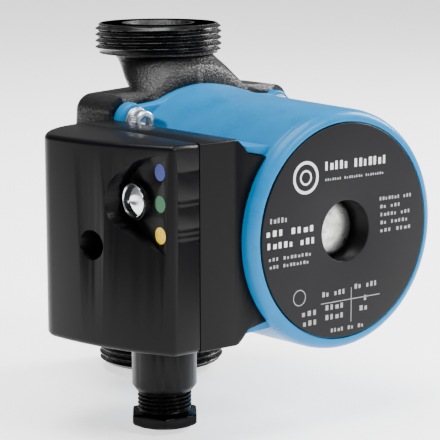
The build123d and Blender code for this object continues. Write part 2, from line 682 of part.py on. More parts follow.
# ---------------------------------------------------------------- electronics
BOARD_LOW = -12.0
SWITCH_TOP = BOARD_TOP + 3.4
with BuildPart() as circuit_board:
    slab((-BOARD_TOP, INNER_LOW[1] + 1, BOARD_LOW), (-BOARD_X, INNER_HIGH[1] - 1, INNER_HIGH[2] - 1))
    peg(side_plane(BOARD_X - 1, LID_SCREW_AT, LID_SCREW_Z), POST_R + 0.5, 4, Mode.SUBTRACT)
save(circuit_board, "circuit_board")

with BuildPart() as capacitor:
    peg(side_plane(BOARD_TOP, 43, 18), 6.0, 11.0)
    fillet(edges().group_by(Axis.X)[0], radius=0.8)
save(capacitor, "capacitor")

with BuildPart() as choke:
    with BuildSketch(side_plane(BOARD_TOP, 44, 0)) as choke_face:
        Circle(8.0)
        Circle(3.5, mode=Mode.SUBTRACT)
    extrude(choke_face.sketch, amount=6.5)
    fillet(edges(), radius=1.2)
save(choke, "choke")

with BuildPart() as power_module:
    slab((-BOARD_TOP - 5.5, LID_SCREW_AT + WELL_R + 1.5, -10.0), (-BOARD_TOP, INNER_HIGH[1] - 2, 1.0))
save(power_module, "power_module")

with BuildPart() as terminal_block:
    slab((-SEAM_X + 2, 58.0, -28.0), (-FLOOR_X, 90.0, -14.0))
    for depth in (64.0, 74.0, 84.0):
        peg(side_plane(SEAM_X - 7, depth, -21), 2.6, 6, Mode.SUBTRACT)
        peg(Plane.XY.offset(AXIS_Z - 29).move(Location((-GLAND_X + 2.5, -depth, 0))), 2.0, 6, Mode.SUBTRACT)
save(terminal_block, "terminal_block")

with BuildPart() as terminal_screws:
    for depth in (64.0, 74.0, 84.0):
        peg(side_plane(SEAM_X - 7, depth, -21), 2.2, 3.0)
        slab((-SEAM_X + 3.2, depth - 3, -21.4), (-SEAM_X + 4.5, depth + 3, -20.6), Mode.SUBTRACT)
save(terminal_screws, "terminal_screws")

with BuildPart() as button_switch:
    slab((-SWITCH_TOP + 1, BUTTON_AT - 3, BUTTON_Z - 3), (-BOARD_TOP, BUTTON_AT + 3, BUTTON_Z + 3))
    peg(side_plane(SWITCH_TOP - 1, BUTTON_AT, BUTTON_Z), 1.7, 1.0)
save(button_switch, "button_switch")

with BuildPart() as status_leds:
    for step in (1, 0, -1):
        peg(side_plane(BOARD_TOP, MARK_AT, BUTTON_Z + step * MARK_PITCH), 1.5, 2.0)
save(status_leds, "status_leds")


# ---------------------------------------------------------------- lid
LID_FAR = BOX_FAR + 0.8
LID_SHOULDER_MID = (LID_CROWN_X - 9.7, (LID_FAR + LID_SHOULDER_AT) / 2 - 2.4)
# Upper half and lower half of the leaf-shaped recess as (depth, height about the motor axis).
LEAF_TIP = (BUTTON_AT - 7.0, BUTTON_Z - 0.4)
LEAF_UPPER = (BUTTON_AT - 1.5, BUTTON_Z + 9.4)
LEAF_TOP = (RECESS_NEAR, BUTTON_Z + 15.8)
LEAF_LOWER = (BUTTON_AT + 1.4, BUTTON_Z - 10.4)
LEAF_BOTTOM = (RECESS_NEAR, BUTTON_Z - 16.6)


def lid_front(depth):
    """Offset of the curved lid front at a depth."""
    return LID_CROWN_X - LID_ARC_R + sqrt(LID_ARC_R ** 2 - (depth - LID_CROWN_AT) ** 2)


def lid_plan(inset=0.0):
    """Plan outline of the lid, moved inwards by an inset everywhere but at the seam."""
    overrun = LID_SEAM_X - LID_WALL
    shoulder = (-lid_front(LID_SHOULDER_AT), -LID_SHOULDER_AT)
    near = (-lid_front(BOX_NEAR), -BOX_NEAR)
    middle = (LID_SHOULDER_AT + BOX_NEAR) / 2
    with BuildSketch(Plane.XY) as plan_view:
        with BuildLine():
            Polyline((-LID_SEAM_X, -LID_FAR), (-overrun, -LID_FAR), (-overrun, -BOX_NEAR), near)
            ThreePointArc(near, (-lid_front(middle), -middle), shoulder)
            ThreePointArc(shoulder, (-LID_SHOULDER_MID[0], -LID_SHOULDER_MID[1]), (-LID_SEAM_X, -LID_FAR))
        make_face()
        fillet(plan_view.vertices().sort_by_distance((*shoulder, 0))[0], radius=LID_SHOULDER_ROUND)
        if inset:
            offset(amount=-inset, kind=Kind.INTERSECTION)
        else:
            fillet(plan_view.vertices().sort_by_distance((*near, 0))[0], radius=LID_NEAR_ROUND)
        with Locations((-LID_SEAM_X, 0)):
            Rectangle(LID_CROWN_X, 4 * BOX_NEAR, align=(Align.MAX, Align.CENTER), mode=Mode.INTERSECT)
    return plan_view.sketch


def lid_block(inset, half, mode=Mode.ADD):
    """Lid-shaped block."""
    extrude(lid_plan(inset).moved(Location((0, 0, AXIS_Z))), amount=half, both=True, mode=mode)


def leaf_prism(mode=Mode.ADD):
    """Leaf-shaped prism standing on the recess floor and running out past the lid front."""
    with BuildSketch(side_plane(RECESS_X)) as leaf:
        with BuildLine():
            Spline(LEAF_TIP, LEAF_UPPER, LEAF_TOP, tangents=[(0, 1), (1, 0)])
            Line(LEAF_TOP, LEAF_BOTTOM)
            Spline(LEAF_BOTTOM, LEAF_LOWER, LEAF_TIP, tangents=[(-1, 0.42), (0, 1)])
        make_face()
    extrude(leaf.sketch, amount=LID_CROWN_X, mode=mode)


with BuildPart() as lid_cavity:
    lid_block(LID_WALL, BOX_HALF - LID_WALL)
    slab(
        (-2 * LID_CROWN_X, LEAF_TIP[0] - RECESS_FLOOR_T, LEAF_BOTTOM[1] - RECESS_FLOOR_T),
        (RECESS_FLOOR_T - RECESS_X, BOX_NEAR, BOX_HALF),
        Mode.SUBTRACT,
    )
    peg(side_plane(LID_SEAM_X, LID_SCREW_AT, LID_SCREW_Z), WELL_R, LID_CROWN_X, Mode.SUBTRACT)

SCREW_FLOOR_X = LID_SEAM_X + 2.0
GUARD_X = RECESS_X + BUTTON_GUARD_T
with BuildPart() as control_box_lid:
    lid_block(0.0, BOX_HALF)
    for level in (0, -1):
        rim = faces().sort_by(Axis.Z)[level].edges().filter_by(lambda edge: edge.center().X < -LID_SEAM_X - 0.1)
        fillet(rim, radius=LID_ROUND)
    add(lid_cavity.part, mode=Mode.SUBTRACT)
    # lid screw well
    peg(side_plane(SCREW_FLOOR_X, LID_SCREW_AT, LID_SCREW_Z), LID_SCREW_HOLE_R, LID_CROWN_X, Mode.SUBTRACT)
    peg(side_plane(LID_SEAM_X, LID_SCREW_AT, LID_SCREW_Z), 1.9, 3, Mode.SUBTRACT)
    # recess with the button's guard ring and the light windows
    leaf_prism(Mode.SUBTRACT)
    peg(side_plane(RECESS_X - 0.5, BUTTON_AT, BUTTON_Z), BUTTON_R + 0.75, BUTTON_GUARD_T + 0.5)
    peg(side_plane(LID_SEAM_X, BUTTON_AT, BUTTON_Z), BUTTON_R + 0.08, LID_CROWN_X, Mode.SUBTRACT)
    for step in (1, 0, -1):
        peg(side_plane(RECESS_X - 4, MARK_AT, BUTTON_Z + step * MARK_PITCH), MARK_R, 8, Mode.SUBTRACT)
    # engraved speed marks beside the lights, each with a dimple at its outer end
    for level in range(3):
        for line in range(level + 1):
            mark_z = BUTTON_Z + (1 - level) * MARK_PITCH - (line - level / 2) * 1.9
            slab((-lid_front(BOX_NEAR) + 2.4, BOX_NEAR - 0.25, mark_z - 0.45), (-LID_SEAM_X, BOX_NEAR, mark_z + 0.45),
                 Mode.SUBTRACT)
            with Locations((-lid_front(BOX_NEAR) + 2.4, -BOX_NEAR, AXIS_Z + mark_z)):
                Sphere(0.5, mode=Mode.SUBTRACT)
save(control_box_lid, "control_box_lid")

with BuildPart() as lid_screw:
    peg(side_plane(SCREW_FLOOR_X, LID_SCREW_AT, LID_SCREW_Z), 3.8, 2.6)
    fillet(edges().group_by(Axis.X)[0], radius=0.8)
    peg(side_plane(FLOOR_X + 2, LID_SCREW_AT, LID_SCREW_Z), 1.45, SCREW_FLOOR_X - FLOOR_X - 2)
    for wide, tall in ((2.2, 0.5), (0.5, 2.2)):
        slab(
            (-SCREW_FLOOR_X - 3, LID_SCREW_AT - wide, LID_SCREW_Z - tall),
            (-SCREW_FLOOR_X - 1.1, LID_SCREW_AT + wide, LID_SCREW_Z + tall),
            Mode.SUBTRACT,
        )
save(lid_screw, "lid_screw")

MARK_FACE_X = RECESS_X + 0.1
for name, step in (("light_guide_upper", 1), ("light_guide_middle", 0), ("light_guide_lower", -1)):
    with BuildPart() as light_guide:
        height = BUTTON_Z + step * MARK_PITCH
        peg(side_plane(MARK_FACE_X - 2, MARK_AT, height), MARK_R, 2)
        peg(side_plane(BOARD_TOP + 2.6, MARK_AT, height), 1.5, MARK_FACE_X - BOARD_TOP - 4.6)
    save(light_guide, name)

# ---------------------------------------------------------------- speed button
BUTTON_FLANGE_R = BUTTON_R + 1.2
BUTTON_FLANGE_X = RECESS_X - RECESS_FLOOR_T - FREE
BUTTON_FLANGE_T = 1.2
STEM_R = 2.0
SPRING_R = 5.0
SPRING_WIRE = 0.4
DOME_RISE = 1.7
dome_sphere_r = (BUTTON_R ** 2 + DOME_RISE ** 2) / (2 * DOME_RISE)
dome_drop = dome_sphere_r - sqrt(dome_sphere_r ** 2 - (BUTTON_R / 2) ** 2)
with BuildPart() as speed_button:
    with BuildSketch(Plane(origin=(0, -BUTTON_AT, AXIS_Z + BUTTON_Z), x_dir=(-1, 0, 0), z_dir=(0, 1, 0))) as half:
        with BuildLine():
            Polyline(
                (SWITCH_TOP + BUTTON_TRAVEL + 0.2, 0),
                (SWITCH_TOP + BUTTON_TRAVEL + 0.2, STEM_R),
                (BUTTON_FLANGE_X - BUTTON_FLANGE_T, STEM_R),
                (BUTTON_FLANGE_X - BUTTON_FLANGE_T, BUTTON_FLANGE_R),
                (BUTTON_FLANGE_X, BUTTON_FLANGE_R),
                (BUTTON_FLANGE_X, BUTTON_R),
                (GUARD_X + 0.4, BUTTON_R),
            )
            ThreePointArc(
                (GUARD_X + 0.4, BUTTON_R),
                (GUARD_X + 0.4 + DOME_RISE - dome_drop, BUTTON_R / 2),
                (GUARD_X + 0.4 + DOME_RISE, 0),
            )
            Line((GUARD_X + 0.4 + DOME_RISE, 0), (SWITCH_TOP + BUTTON_TRAVEL + 0.2, 0))
        make_face()
    revolve(half.sketch, axis=Axis((0, -BUTTON_AT, AXIS_Z + BUTTON_Z), (-1, 0, 0)))
save(speed_button, "speed_button")

SPRING_LOW = BOARD_TOP + SPRING_WIRE
SPRING_HIGH = BUTTON_FLANGE_X - BUTTON_FLANGE_T - SPRING_WIRE
with BuildPart() as button_spring:
    with BuildLine(mode=Mode.PRIVATE) as coil:
        Helix(
            pitch=(SPRING_HIGH - SPRING_LOW) / 5,
            height=SPRING_HIGH - SPRING_LOW,
            radius=SPRING_R,
            center=(-SPRING_LOW, -BUTTON_AT, AXIS_Z + BUTTON_Z),
            direction=(-1, 0, 0),
        )
    with BuildSketch(Plane(coil.wire() @ 0, z_dir=coil.wire() % 0)) as wire:
        Circle(SPRING_WIRE)
    sweep(wire.sketch, path=coil.wire())
save(button_spring, "button_spring")

# ---------------------------------------------------------------- cable gland
GLAND_TOP = GLAND_MOUTH + GLAND_ENGAGED
GLAND_HEX_TOP = GLAND_MOUTH - GLAND_STANDOUT
SEAL_BOTTOM = GLAND_TOP + FREE + 1.0 + GLAND_TRAVEL + 0.2
with BuildPart() as gland_seal:
    gland_turned([
        (CABLE_R, SEAL_BOTTOM + 0.8),
        (CABLE_R + 0.8, SEAL_BOTTOM),
        (GLAND_THREAD_R + SEAT, SEAL_BOTTOM),
        (GLAND_THREAD_R + SEAT, GLAND_BORE_TOP),
        (CABLE_R, GLAND_BORE_TOP),
    ])
save(gland_seal, "gland_seal")

with BuildPart() as gland_washer:
    gland_turned([
        (CABLE_R + 0.6, GLAND_TOP + FREE),
        (GLAND_THREAD_R - 0.35, GLAND_TOP + FREE),
        (GLAND_THREAD_R - 0.35, GLAND_TOP + FREE + 1.0),
        (CABLE_R + 0.6, GLAND_TOP + FREE + 1.0),
    ])
save(gland_washer, "gland_washer")

GLAND_TURNS = int((GLAND_TOP - GLAND_HEX_TOP - 1.2) / GLAND_PITCH)
with BuildPart() as gland_screw:
    gland_rings = thread_points(GLAND_HEX_TOP + 0.9, GLAND_TURNS, GLAND_PITCH, GLAND_THREAD_R, GLAND_THREAD_R - 0.75)
    gland_turned(
        [(CABLE_R + 0.2, GLAND_HEX_TOP - GLAND_HEX_H / 2), (GLAND_THREAD_R - 0.75, GLAND_HEX_TOP - GLAND_HEX_H / 2)]
        + [(GLAND_THREAD_R - 0.75, GLAND_HEX_TOP + 0.4)]
        + [(radius, height) for height, radius in gland_rings]
        + [(GLAND_THREAD_R - 0.6, GLAND_TOP), (CABLE_R + 0.2, GLAND_TOP)]
    )
    with BuildSketch(Plane.XY.offset(GLAND_HEX_TOP - GLAND_HEX_H)) as hexagon:
        with Locations((-GLAND_X, -GLAND_AT)):
            RegularPolygon(GLAND_FLATS / 2, 6, major_radius=False, rotation=GLAND_TURNED)
            Circle(CABLE_R + 0.2, mode=Mode.SUBTRACT)
    extrude(hexagon.sketch, amount=GLAND_HEX_H)
    gland_turned([
        (GLAND_FLATS / 2 - 0.2, GLAND_HEX_TOP - GLAND_HEX_H),
        (GLAND_FLATS / 2 + 2, GLAND_HEX_TOP - GLAND_HEX_H),
        (GLAND_FLATS / 2 + 2, GLAND_HEX_TOP - GLAND_HEX_H + 1.3),
    ], Mode.SUBTRACT)
    gland_turned([
        (0, GLAND_HEX_TOP - GLAND_HEX_H),
        (CABLE_R + 1.4, GLAND_HEX_TOP - GLAND_HEX_H),
        (CABLE_R + 0.2, GLAND_HEX_TOP - GLAND_HEX_H + 1.2),
        (0, GLAND_HEX_TOP - GLAND_HEX_H + 1.2),
    ], Mode.SUBTRACT)
save(gland_screw, "gland_screw")
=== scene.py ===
"""Circulator pump: the surfaces, finishes, lights and camera laid over the fixed CAD frame."""

import logging
import math
from dataclasses import dataclass, field
from enum import Enum
from typing import Any, Callable, Sequence, Union

import bmesh
import bpy
import numpy as np
from mathutils import Matrix, Vector


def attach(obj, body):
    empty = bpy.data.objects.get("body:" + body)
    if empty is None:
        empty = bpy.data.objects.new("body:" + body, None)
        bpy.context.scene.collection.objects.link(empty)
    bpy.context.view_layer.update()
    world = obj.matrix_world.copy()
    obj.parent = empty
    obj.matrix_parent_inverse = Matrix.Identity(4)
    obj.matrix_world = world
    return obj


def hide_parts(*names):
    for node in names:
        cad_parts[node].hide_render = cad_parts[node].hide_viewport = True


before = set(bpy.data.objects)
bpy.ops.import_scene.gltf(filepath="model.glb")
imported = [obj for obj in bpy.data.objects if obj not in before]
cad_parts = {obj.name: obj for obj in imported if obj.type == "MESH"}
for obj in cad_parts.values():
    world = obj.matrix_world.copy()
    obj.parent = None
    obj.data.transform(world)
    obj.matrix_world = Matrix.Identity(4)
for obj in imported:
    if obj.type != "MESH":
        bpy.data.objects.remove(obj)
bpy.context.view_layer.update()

logging.basicConfig(level=logging.INFO, format="%(name)s: %(message)s")
LOG = logging.getLogger("circulator")

MM = 0.001
Array = np.ndarray
Colour = tuple[float, float, float]
Value = Union["Signal", float, int, tuple, list]
Reach = Union[float, Array]
Centre = tuple[float, float]


# ------------------------------------------------------------------ shader building


class Signal:
    """A shader socket on which arithmetic adds Math nodes."""

    def __init__(self, graph: "Graph", socket: bpy.types.NodeSocket) -> None:
        """Wrap one output socket."""
        self.graph = graph
        self.socket = socket

    def _math(self, operation: str, *values: Value) -> "Signal":
        """Add one Math node."""
        return self.graph.add("ShaderNodeMath", {"operation": operation}, dict(enumerate(values)))

    def __add__(self, other: Value) -> "Signal":
        """Sum."""
        return self._math("ADD", self, other)

    __radd__ = __add__

    def __mul__(self, other: Value) -> "Signal":
        """Product."""
        return self._math("MULTIPLY", self, other)

    __rmul__ = __mul__

    def __rsub__(self, other: Value) -> "Signal":
        """Difference with the signal second."""
        return self._math("SUBTRACT", other, self)

    def wave(self) -> "Signal":
        """Sine."""
        return self._math("SINE", self)

    def ramp(self, low: float, high: float, to_low: float = 0.0, to_high: float = 1.0) -> "Signal":
        """Clamped linear map."""
        return self.graph.add(
            "ShaderNodeMapRange", {"clamp": True}, {0: self, 1: low, 2: high, 3: to_low, 4: to_high}
        )


class Graph:
    """A material's nodes, with a principled shader already joined to its output."""

    def __init__(self, name: str) -> None:
        """Start an empty material."""
        self.material = bpy.data.materials.new(name)
        self.material.use_nodes = True
        self.tree = self.material.node_tree
        self.tree.nodes.clear()
        self.shader = self.tree.nodes.new("ShaderNodeBsdfPrincipled")
        output = self.tree.nodes.new("ShaderNodeOutputMaterial")
        self.tree.links.new(self.shader.outputs[0], output.inputs[0])
        self.place = self.add("ShaderNodeTexCoord", {}, {}, "Object")

    def add(
        self,
        kind: str,
        settings: dict[str, Any],
        inputs: dict[Union[int, str], Value],
        output: Union[int, str] = 0,
    ) -> Signal:
        """Add any node.

        Args:
            kind: The node's type.
            settings: Properties set before the inputs; a ramp's stops are (position, colour) pairs.
            inputs: Values or signals by socket name or number.
            output: The output wanted.

        Returns:
            The wanted output.
        """
        node = self.tree.nodes.new(kind)
        for key, value in settings.items():
            if key == "stops":
                self._set_stops(node, value)
            else:
                setattr(node, key, value)
        for key, value in inputs.items():
            self.feed(node.inputs[key], value)
        return Signal(self, node.outputs[output])

    @staticmethod
    def _set_stops(node: bpy.types.Node, stops: Sequence[tuple[float, Colour]]) -> None:
        """Give a colour ramp its stops."""
        elements = node.color_ramp.elements
        while len(elements) < len(stops):
            elements.new(0.5)
        for element, (position, colour) in zip(elements, stops):
            element.position = position
            element.color = (*colour, 1.0)

    def feed(self, socket: bpy.types.NodeSocket, value: Value) -> None:
        """Link or set one input."""
        if isinstance(value, Signal):
            self.tree.links.new(value.socket, socket)
        elif isinstance(value, tuple) and len(value) == 3 and socket.type == "RGBA":
            socket.default_value = (*value, 1.0)
        else:
            socket.default_value = value

    def axes(self) -> tuple[Signal, Signal, Signal]:
        """The three object coordinates in metres."""
        split = self.tree.nodes.new("ShaderNodeSeparateXYZ")
        self.tree.links.new(self.place.socket, split.inputs[0])
        return tuple(Signal(self, out) for out in split.outputs)

    def noise(
        self, size: float, detail: float = 2.0, rough: float = 0.5, stretch: Colour = (1, 1, 1)
    ) -> Signal:
        """Noise whose blobs are about a size in metres."""
        where = self.place
        if stretch != (1, 1, 1):
            where = self.add("ShaderNodeVectorMath", {"operation": "MULTIPLY"}, {0: self.place, 1: stretch})
        values = {"Vector": where, "Scale": 1 / size, "Detail": detail, "Roughness": rough}
        return self.add("ShaderNodeTexNoise", {}, values)

    def mix(self, factor: Value, first: Value, second: Value) -> Signal:
        """Blend two colours."""
        node = self.tree.nodes.new("ShaderNodeMix")
        node.data_type = "RGBA"
        self.feed(node.inputs[0], factor)
        self.feed(node.inputs[6], first)
        self.feed(node.inputs[7], second)
        return Signal(self, node.outputs[2])

    def bump(self, height: Signal, distance: float, strength: float = 1.0) -> None:
        """Send a height through a Bump node to the shader's normal."""
        values = {"Height": height, "Distance": distance, "Strength": strength}
        normal = self.add("ShaderNodeBump", {}, values)
        self.feed(self.shader.inputs["Normal"], normal)

    def set(self, **values: Value) -> None:
        """Set the shader's sockets; an underscore in a name stands for a space."""
        for key, value in values.items():
            self.feed(self.shader.inputs[key.replace("_", " ")], value)


# ------------------------------------------------------------------ finishes


MADE: dict[str, bpy.types.Material] = {}


@dataclass(frozen=True)
class Finish:
    """A procedural finish.

    Attributes:
        name: The material's name.
        colour: Its base colour, linear.
        roughness: Its mean roughness.
        sheen: Strength of its uncoloured reflection, 0.5 for common plastic.
    """

    name: str
    colour: Colour
    roughness: float
    sheen: float = field(default=0.5, kw_only=True)

    def build(self) -> bpy.types.Material:
        """Make the material, or return it if it is made already."""
        if self.name not in MADE:
            graph = Graph(self.name)
            self.paint(graph)
            graph.set(Specular_IOR_Level=self.sheen)
            MADE[self.name] = graph.material
        return MADE[self.name]

    def paint(self, graph: Graph) -> None:
        """Fill the graph."""
        raise NotImplementedError

    def shaded(self, factor: float) -> Colour:
        """The base colour, lighter or darker."""
        return tuple(min(1.0, channel * factor) for channel in self.colour)


@dataclass(frozen=True)
class SprayPaint(Finish):
    """Satin paint on cast metal: orange peel, fine flow marks and a slight mottle."""

    coat: float = 0.25

    def paint(self, graph: Graph) -> None:
        """Peel of 0.9 mm and 2.5 mm cells over a soft mottle.

        Args:
            graph: The material's graph.
        """
        peel = graph.noise(0.0011, 2.0) * 0.6 + graph.noise(0.0032, 1.0) * 0.4
        mottle = graph.noise(0.014, 4.0, 0.6)
        scuff = graph.noise(0.0009, 6.0, 0.75).ramp(0.66, 0.78)
        base = graph.mix(mottle.ramp(0.3, 0.7), self.shaded(0.9), self.shaded(1.08))
        graph.set(
            Base_Color=graph.mix(scuff * 0.25, base, self.shaded(1.5)),
            Roughness=mottle.ramp(0.3, 0.7, self.roughness - 0.05, self.roughness + 0.06) + scuff * 0.1,
            Coat_Weight=self.coat,
            Coat_Roughness=0.22,
        )
        graph.bump(peel, 0.00005, 0.55)


@dataclass(frozen=True)
class SandCast(Finish):
    """Black-coated sand casting: coarse grain, pits and bright sparkling high spots."""

    grain: float = 0.0012

    def paint(self, graph: Graph) -> None:
        """Grains from cell noise, broken up by finer noise; high spots lose some of their coat.

        Args:
            graph: The material's graph.
        """
        where = {"Vector": graph.place, "Scale": 1 / self.grain}
        cells = graph.add("ShaderNodeTexVoronoi", {"feature": "F1"}, where, "Distance")
        fine = graph.noise(self.grain * 0.45, 5.0, 0.7)
        broad = graph.noise(0.009, 3.0)
        height = (1 - cells) * 0.45 + fine * 0.4 + broad * 0.35
        bare = height.ramp(0.78, 0.92)
        base = graph.mix(broad.ramp(0.35, 0.65), self.shaded(0.75), self.shaded(1.35))
        graph.set(
            Base_Color=graph.mix(bare * 0.55, base, (0.11, 0.11, 0.115)),
            Roughness=fine.ramp(0.3, 0.7, self.roughness - 0.12, self.roughness + 0.12),
            Metallic=bare * 0.5,
        )
        graph.bump(height, 0.00042, 0.9)


@dataclass(frozen=True)
class MachinedIron(Finish):
    """Cut and blackened iron: turning lines round the pipe axis under a thin coat."""

    def paint(self, graph: Graph) -> None:
        """Turning lines follow height; oil film varies the gloss.

        Args:
            graph: The material's graph.
        """
        lines = graph.noise(0.0006, 3.0, 0.6, (0.12, 0.12, 1.6))
        film = graph.noise(0.006, 4.0, 0.6)
        chips = graph.noise(0.0008, 5.0, 0.7).ramp(0.63, 0.75)
        base = graph.mix(film.ramp(0.3, 0.7), self.shaded(0.8), self.shaded(1.3))
        graph.set(
            Base_Color=graph.mix(chips * 0.4, base, (0.22, 0.22, 0.23)),
            Roughness=film.ramp(0.3, 0.7, self.roughness - 0.08, self.roughness + 0.1),
            Metallic=0.1,
            Coat_Weight=0.1,
            Coat_Roughness=0.15,
        )
        graph.bump(lines * 0.6 + film * 0.4, 0.00007, 0.6)


@dataclass(frozen=True)
class MouldedPlastic(Finish):
    """Moulded plastic with a spark-eroded texture."""

    grain: float = 0.00035
    depth: float = 0.00004
    coat: float = 0.0

    def paint(self, graph: Graph) -> None:
        """Even fine grain, faint flow lines and a few scuffs.

        Args:
            graph: The material's graph.
        """
        grain = graph.noise(self.grain, 3.0, 0.65)
        flow = graph.noise(0.02, 3.0, 0.5, (1.0, 0.35, 1.6))
        scuffs = graph.noise(0.0022, 6.0, 0.72).ramp(0.62, 0.8)
        base = graph.mix(flow.ramp(0.3, 0.7), self.shaded(0.92), self.shaded(1.08))
        graph.set(
            Base_Color=graph.mix(scuffs * 0.22, base, self.shaded(1.9)),
            Roughness=grain.ramp(0.3, 0.7, self.roughness - 0.05, self.roughness + 0.07),
            Coat_Weight=self.coat,
            Coat_Roughness=0.08,
        )
        graph.bump(grain, self.depth, 0.6)


@dataclass(frozen=True)
class BrightMetal(Finish):
    """Plated or machined metal with fine marks along one direction."""

    along: Colour = (1.0, 1.0, 1.0)
    stain: float = 0.4

    def paint(self, graph: Graph) -> None:
        """Stretched noise for the tool marks over a cloudy plating.

        Args:
            graph: The material's graph.
        """
        marks = graph.noise(0.0007, 4.0, 0.65, self.along)
        cloud = graph.noise(0.004, 5.0, 0.65)
        base = graph.mix(cloud.ramp(0.35, 0.68), self.shaded(1.0), self.shaded(1.0 - self.stain))
        graph.set(
            Base_Color=base,
            Metallic=1.0,
            Roughness=cloud.ramp(0.3, 0.7, self.roughness - 0.06, self.roughness + 0.12),
        )
        graph.bump(marks, 0.00003, 0.5)


@dataclass(frozen=True)
class Rubber(Finish):
    """Dull moulded rubber with a dusty bloom."""

    def paint(self, graph: Graph) -> None:
        """Bloom in soft clouds, fine grain in the bump."""
        bloom = graph.noise(0.003, 5.0, 0.7)
        graph.set(
            Base_Color=graph.mix(bloom.ramp(0.4, 0.75), self.colour, self.shaded(2.6)),
            Roughness=bloom.ramp(0.3, 0.7, self.roughness - 0.08, self.roughness + 0.08),
        )
        graph.bump(graph.noise(0.0004, 2.0), 0.00003, 0.5)


class Band(Enum):
    """Which object axis a layered finish is stacked along."""

    X = 0
    Y = 1
    Z = 2


@dataclass(frozen=True)
class Layered(Finish):
    """Stacked sheets or wound wire: fine lines across one axis."""

    pitch: float = 0.0005
    band: Band = Band.Y
    metallic: float = 1.0

    def paint(self, graph: Graph) -> None:
        """A sine of the coordinate over the pitch draws the layers.

        Args:
            graph: The material's graph.
        """
        along = graph.axes()[self.band.value]
        lines = (along * (2 * math.pi / self.pitch)).wave().ramp(-1.0, 1.0)
        cloud = graph.noise(0.004, 4.0, 0.6)
        graph.set(
            Base_Color=graph.mix(lines * 0.6 + cloud * 0.3, self.shaded(0.45), self.shaded(1.1)),
            Metallic=self.metallic,
            Roughness=cloud.ramp(0.3, 0.7, self.roughness - 0.08, self.roughness + 0.1),
        )
        graph.bump(lines, self.pitch * 0.35, 0.8)


@dataclass(frozen=True)
class CircuitLacquer(Finish):
    """Green solder mask over copper tracks."""

    def paint(self, graph: Graph) -> None:
        """Tracks come from a brick pattern laid across the board's own plane.

        Args:
            graph: The material's graph.
        """
        _, across, up = graph.axes()
        plane = graph.add("ShaderNodeCombineXYZ", {}, {0: across, 1: up})
        tracks = graph.add(
            "ShaderNodeTexBrick",
            {},
            {"Vector": plane, "Scale": 260.0, "Mortar Size": 0.16, "Mortar Smooth": 0.3, "Bias": -0.2},
            "Fac",
        )
        cloud = graph.noise(0.005, 3.0)
        graph.set(
            Base_Color=graph.mix(tracks * 0.7, self.colour, self.shaded(2.1)),
            Roughness=cloud.ramp(0.3, 0.7, self.roughness - 0.05, self.roughness + 0.1),
            Coat_Weight=0.4,
        )
        graph.bump(tracks, 0.00005, 0.7)


@dataclass(frozen=True)
class Lens(Finish):
    """A small coloured window."""

    def paint(self, graph: Graph) -> None:
        """Depth of tint varies with cloudy noise under a gloss coat."""
        cloud = graph.noise(0.0016, 2.0)
        graph.set(
            Base_Color=graph.mix(cloud.ramp(0.35, 0.7), self.shaded(0.8), self.shaded(1.25)),
            Roughness=cloud.ramp(0.3, 0.7, self.roughness, self.roughness + 0.1),
            Coat_Weight=0.08,
            Coat_Roughness=0.06,
        )
        graph.bump(cloud, 0.00004, 0.4)


# ------------------------------------------------------------------ the finishes used

SKY_BLUE = SprayPaint("sky_blue_paint", (0.0, 0.130, 0.31), 0.3, 0.0, sheen=0.14)
CAST_BLACK = SandCast("black_sand_casting", (0.0024, 0.0024, 0.0028), 0.36, sheen=0.25)
COLLAR_BLACK = MachinedIron("blackened_thread", (0.0012, 0.0012, 0.0015), 0.24, sheen=0.25)
BOX_BLACK = MouldedPlastic("charcoal_box_plastic", (0.0010, 0.0010, 0.0014), 0.33, sheen=0.1)
GLAND_BLACK = MouldedPlastic("gland_nylon", (0.0004, 0.0004, 0.0005), 0.24, 0.0006, 0.00002, sheen=0.08)
PLATE_GREY = MouldedPlastic("disc_lacquer", (0.0042, 0.0042, 0.0050), 0.42, 0.0003, 0.00002, sheen=0.12)
IMPELLER_BLACK = MouldedPlastic("impeller_resin", (0.03, 0.03, 0.032), 0.45)
CREAM_PLASTIC = MouldedPlastic("cream_plastic", (0.62, 0.58, 0.48), 0.45)
GREY_PLASTIC = MouldedPlastic("terminal_plastic", (0.30, 0.30, 0.31), 0.5)
BLACK_PART = MouldedPlastic("moulded_component", (0.02, 0.02, 0.021), 0.42)
CLEAR_PART = MouldedPlastic("led_plastic", (0.75, 0.75, 0.72), 0.15)
ZINC = BrightMetal("zinc_plate", (0.62, 0.63, 0.65), 0.28, (1.0, 0.4, 1.0))
STAINLESS = BrightMetal("stainless", (0.58, 0.57, 0.55), 0.25, (1.0, 5.0, 1.0), 0.2)
NICKEL = BrightMetal("cast_nickel", (0.60, 0.60, 0.58), 0.30, (1.0, 1.0, 1.0), 0.55)
CERAMIC = MouldedPlastic("bearing_ceramic", (0.05, 0.045, 0.045), 0.25)
SEAL_RUBBER = Rubber("black_rubber", (0.012, 0.012, 0.012), 0.6)
LAMINATION = Layered("sheet_steel_stack", (0.35, 0.35, 0.36), 0.45)
COPPER_WIRE = Layered("enamelled_wire", (0.70, 0.26, 0.09), 0.3, 0.0006, Band.Y, 0.9)
BOARD_GREEN = CircuitLacquer("solder_mask", (0.012, 0.10, 0.035), 0.35)
LAMP_BLUE = Lens("blue_window", (0.0, 0.012, 0.15), 0.2, sheen=0.2)
LAMP_GREEN = Lens("green_window", (0.0, 0.075, 0.02), 0.2, sheen=0.2)
LAMP_YELLOW = Lens("yellow_window", (0.60, 0.38, 0.0), 0.2, sheen=0.2)
BUTTON_SILVER = BrightMetal("chromed_button", (0.72, 0.74, 0.76), 0.12, (1.0, 1.0, 1.0), 0.12)

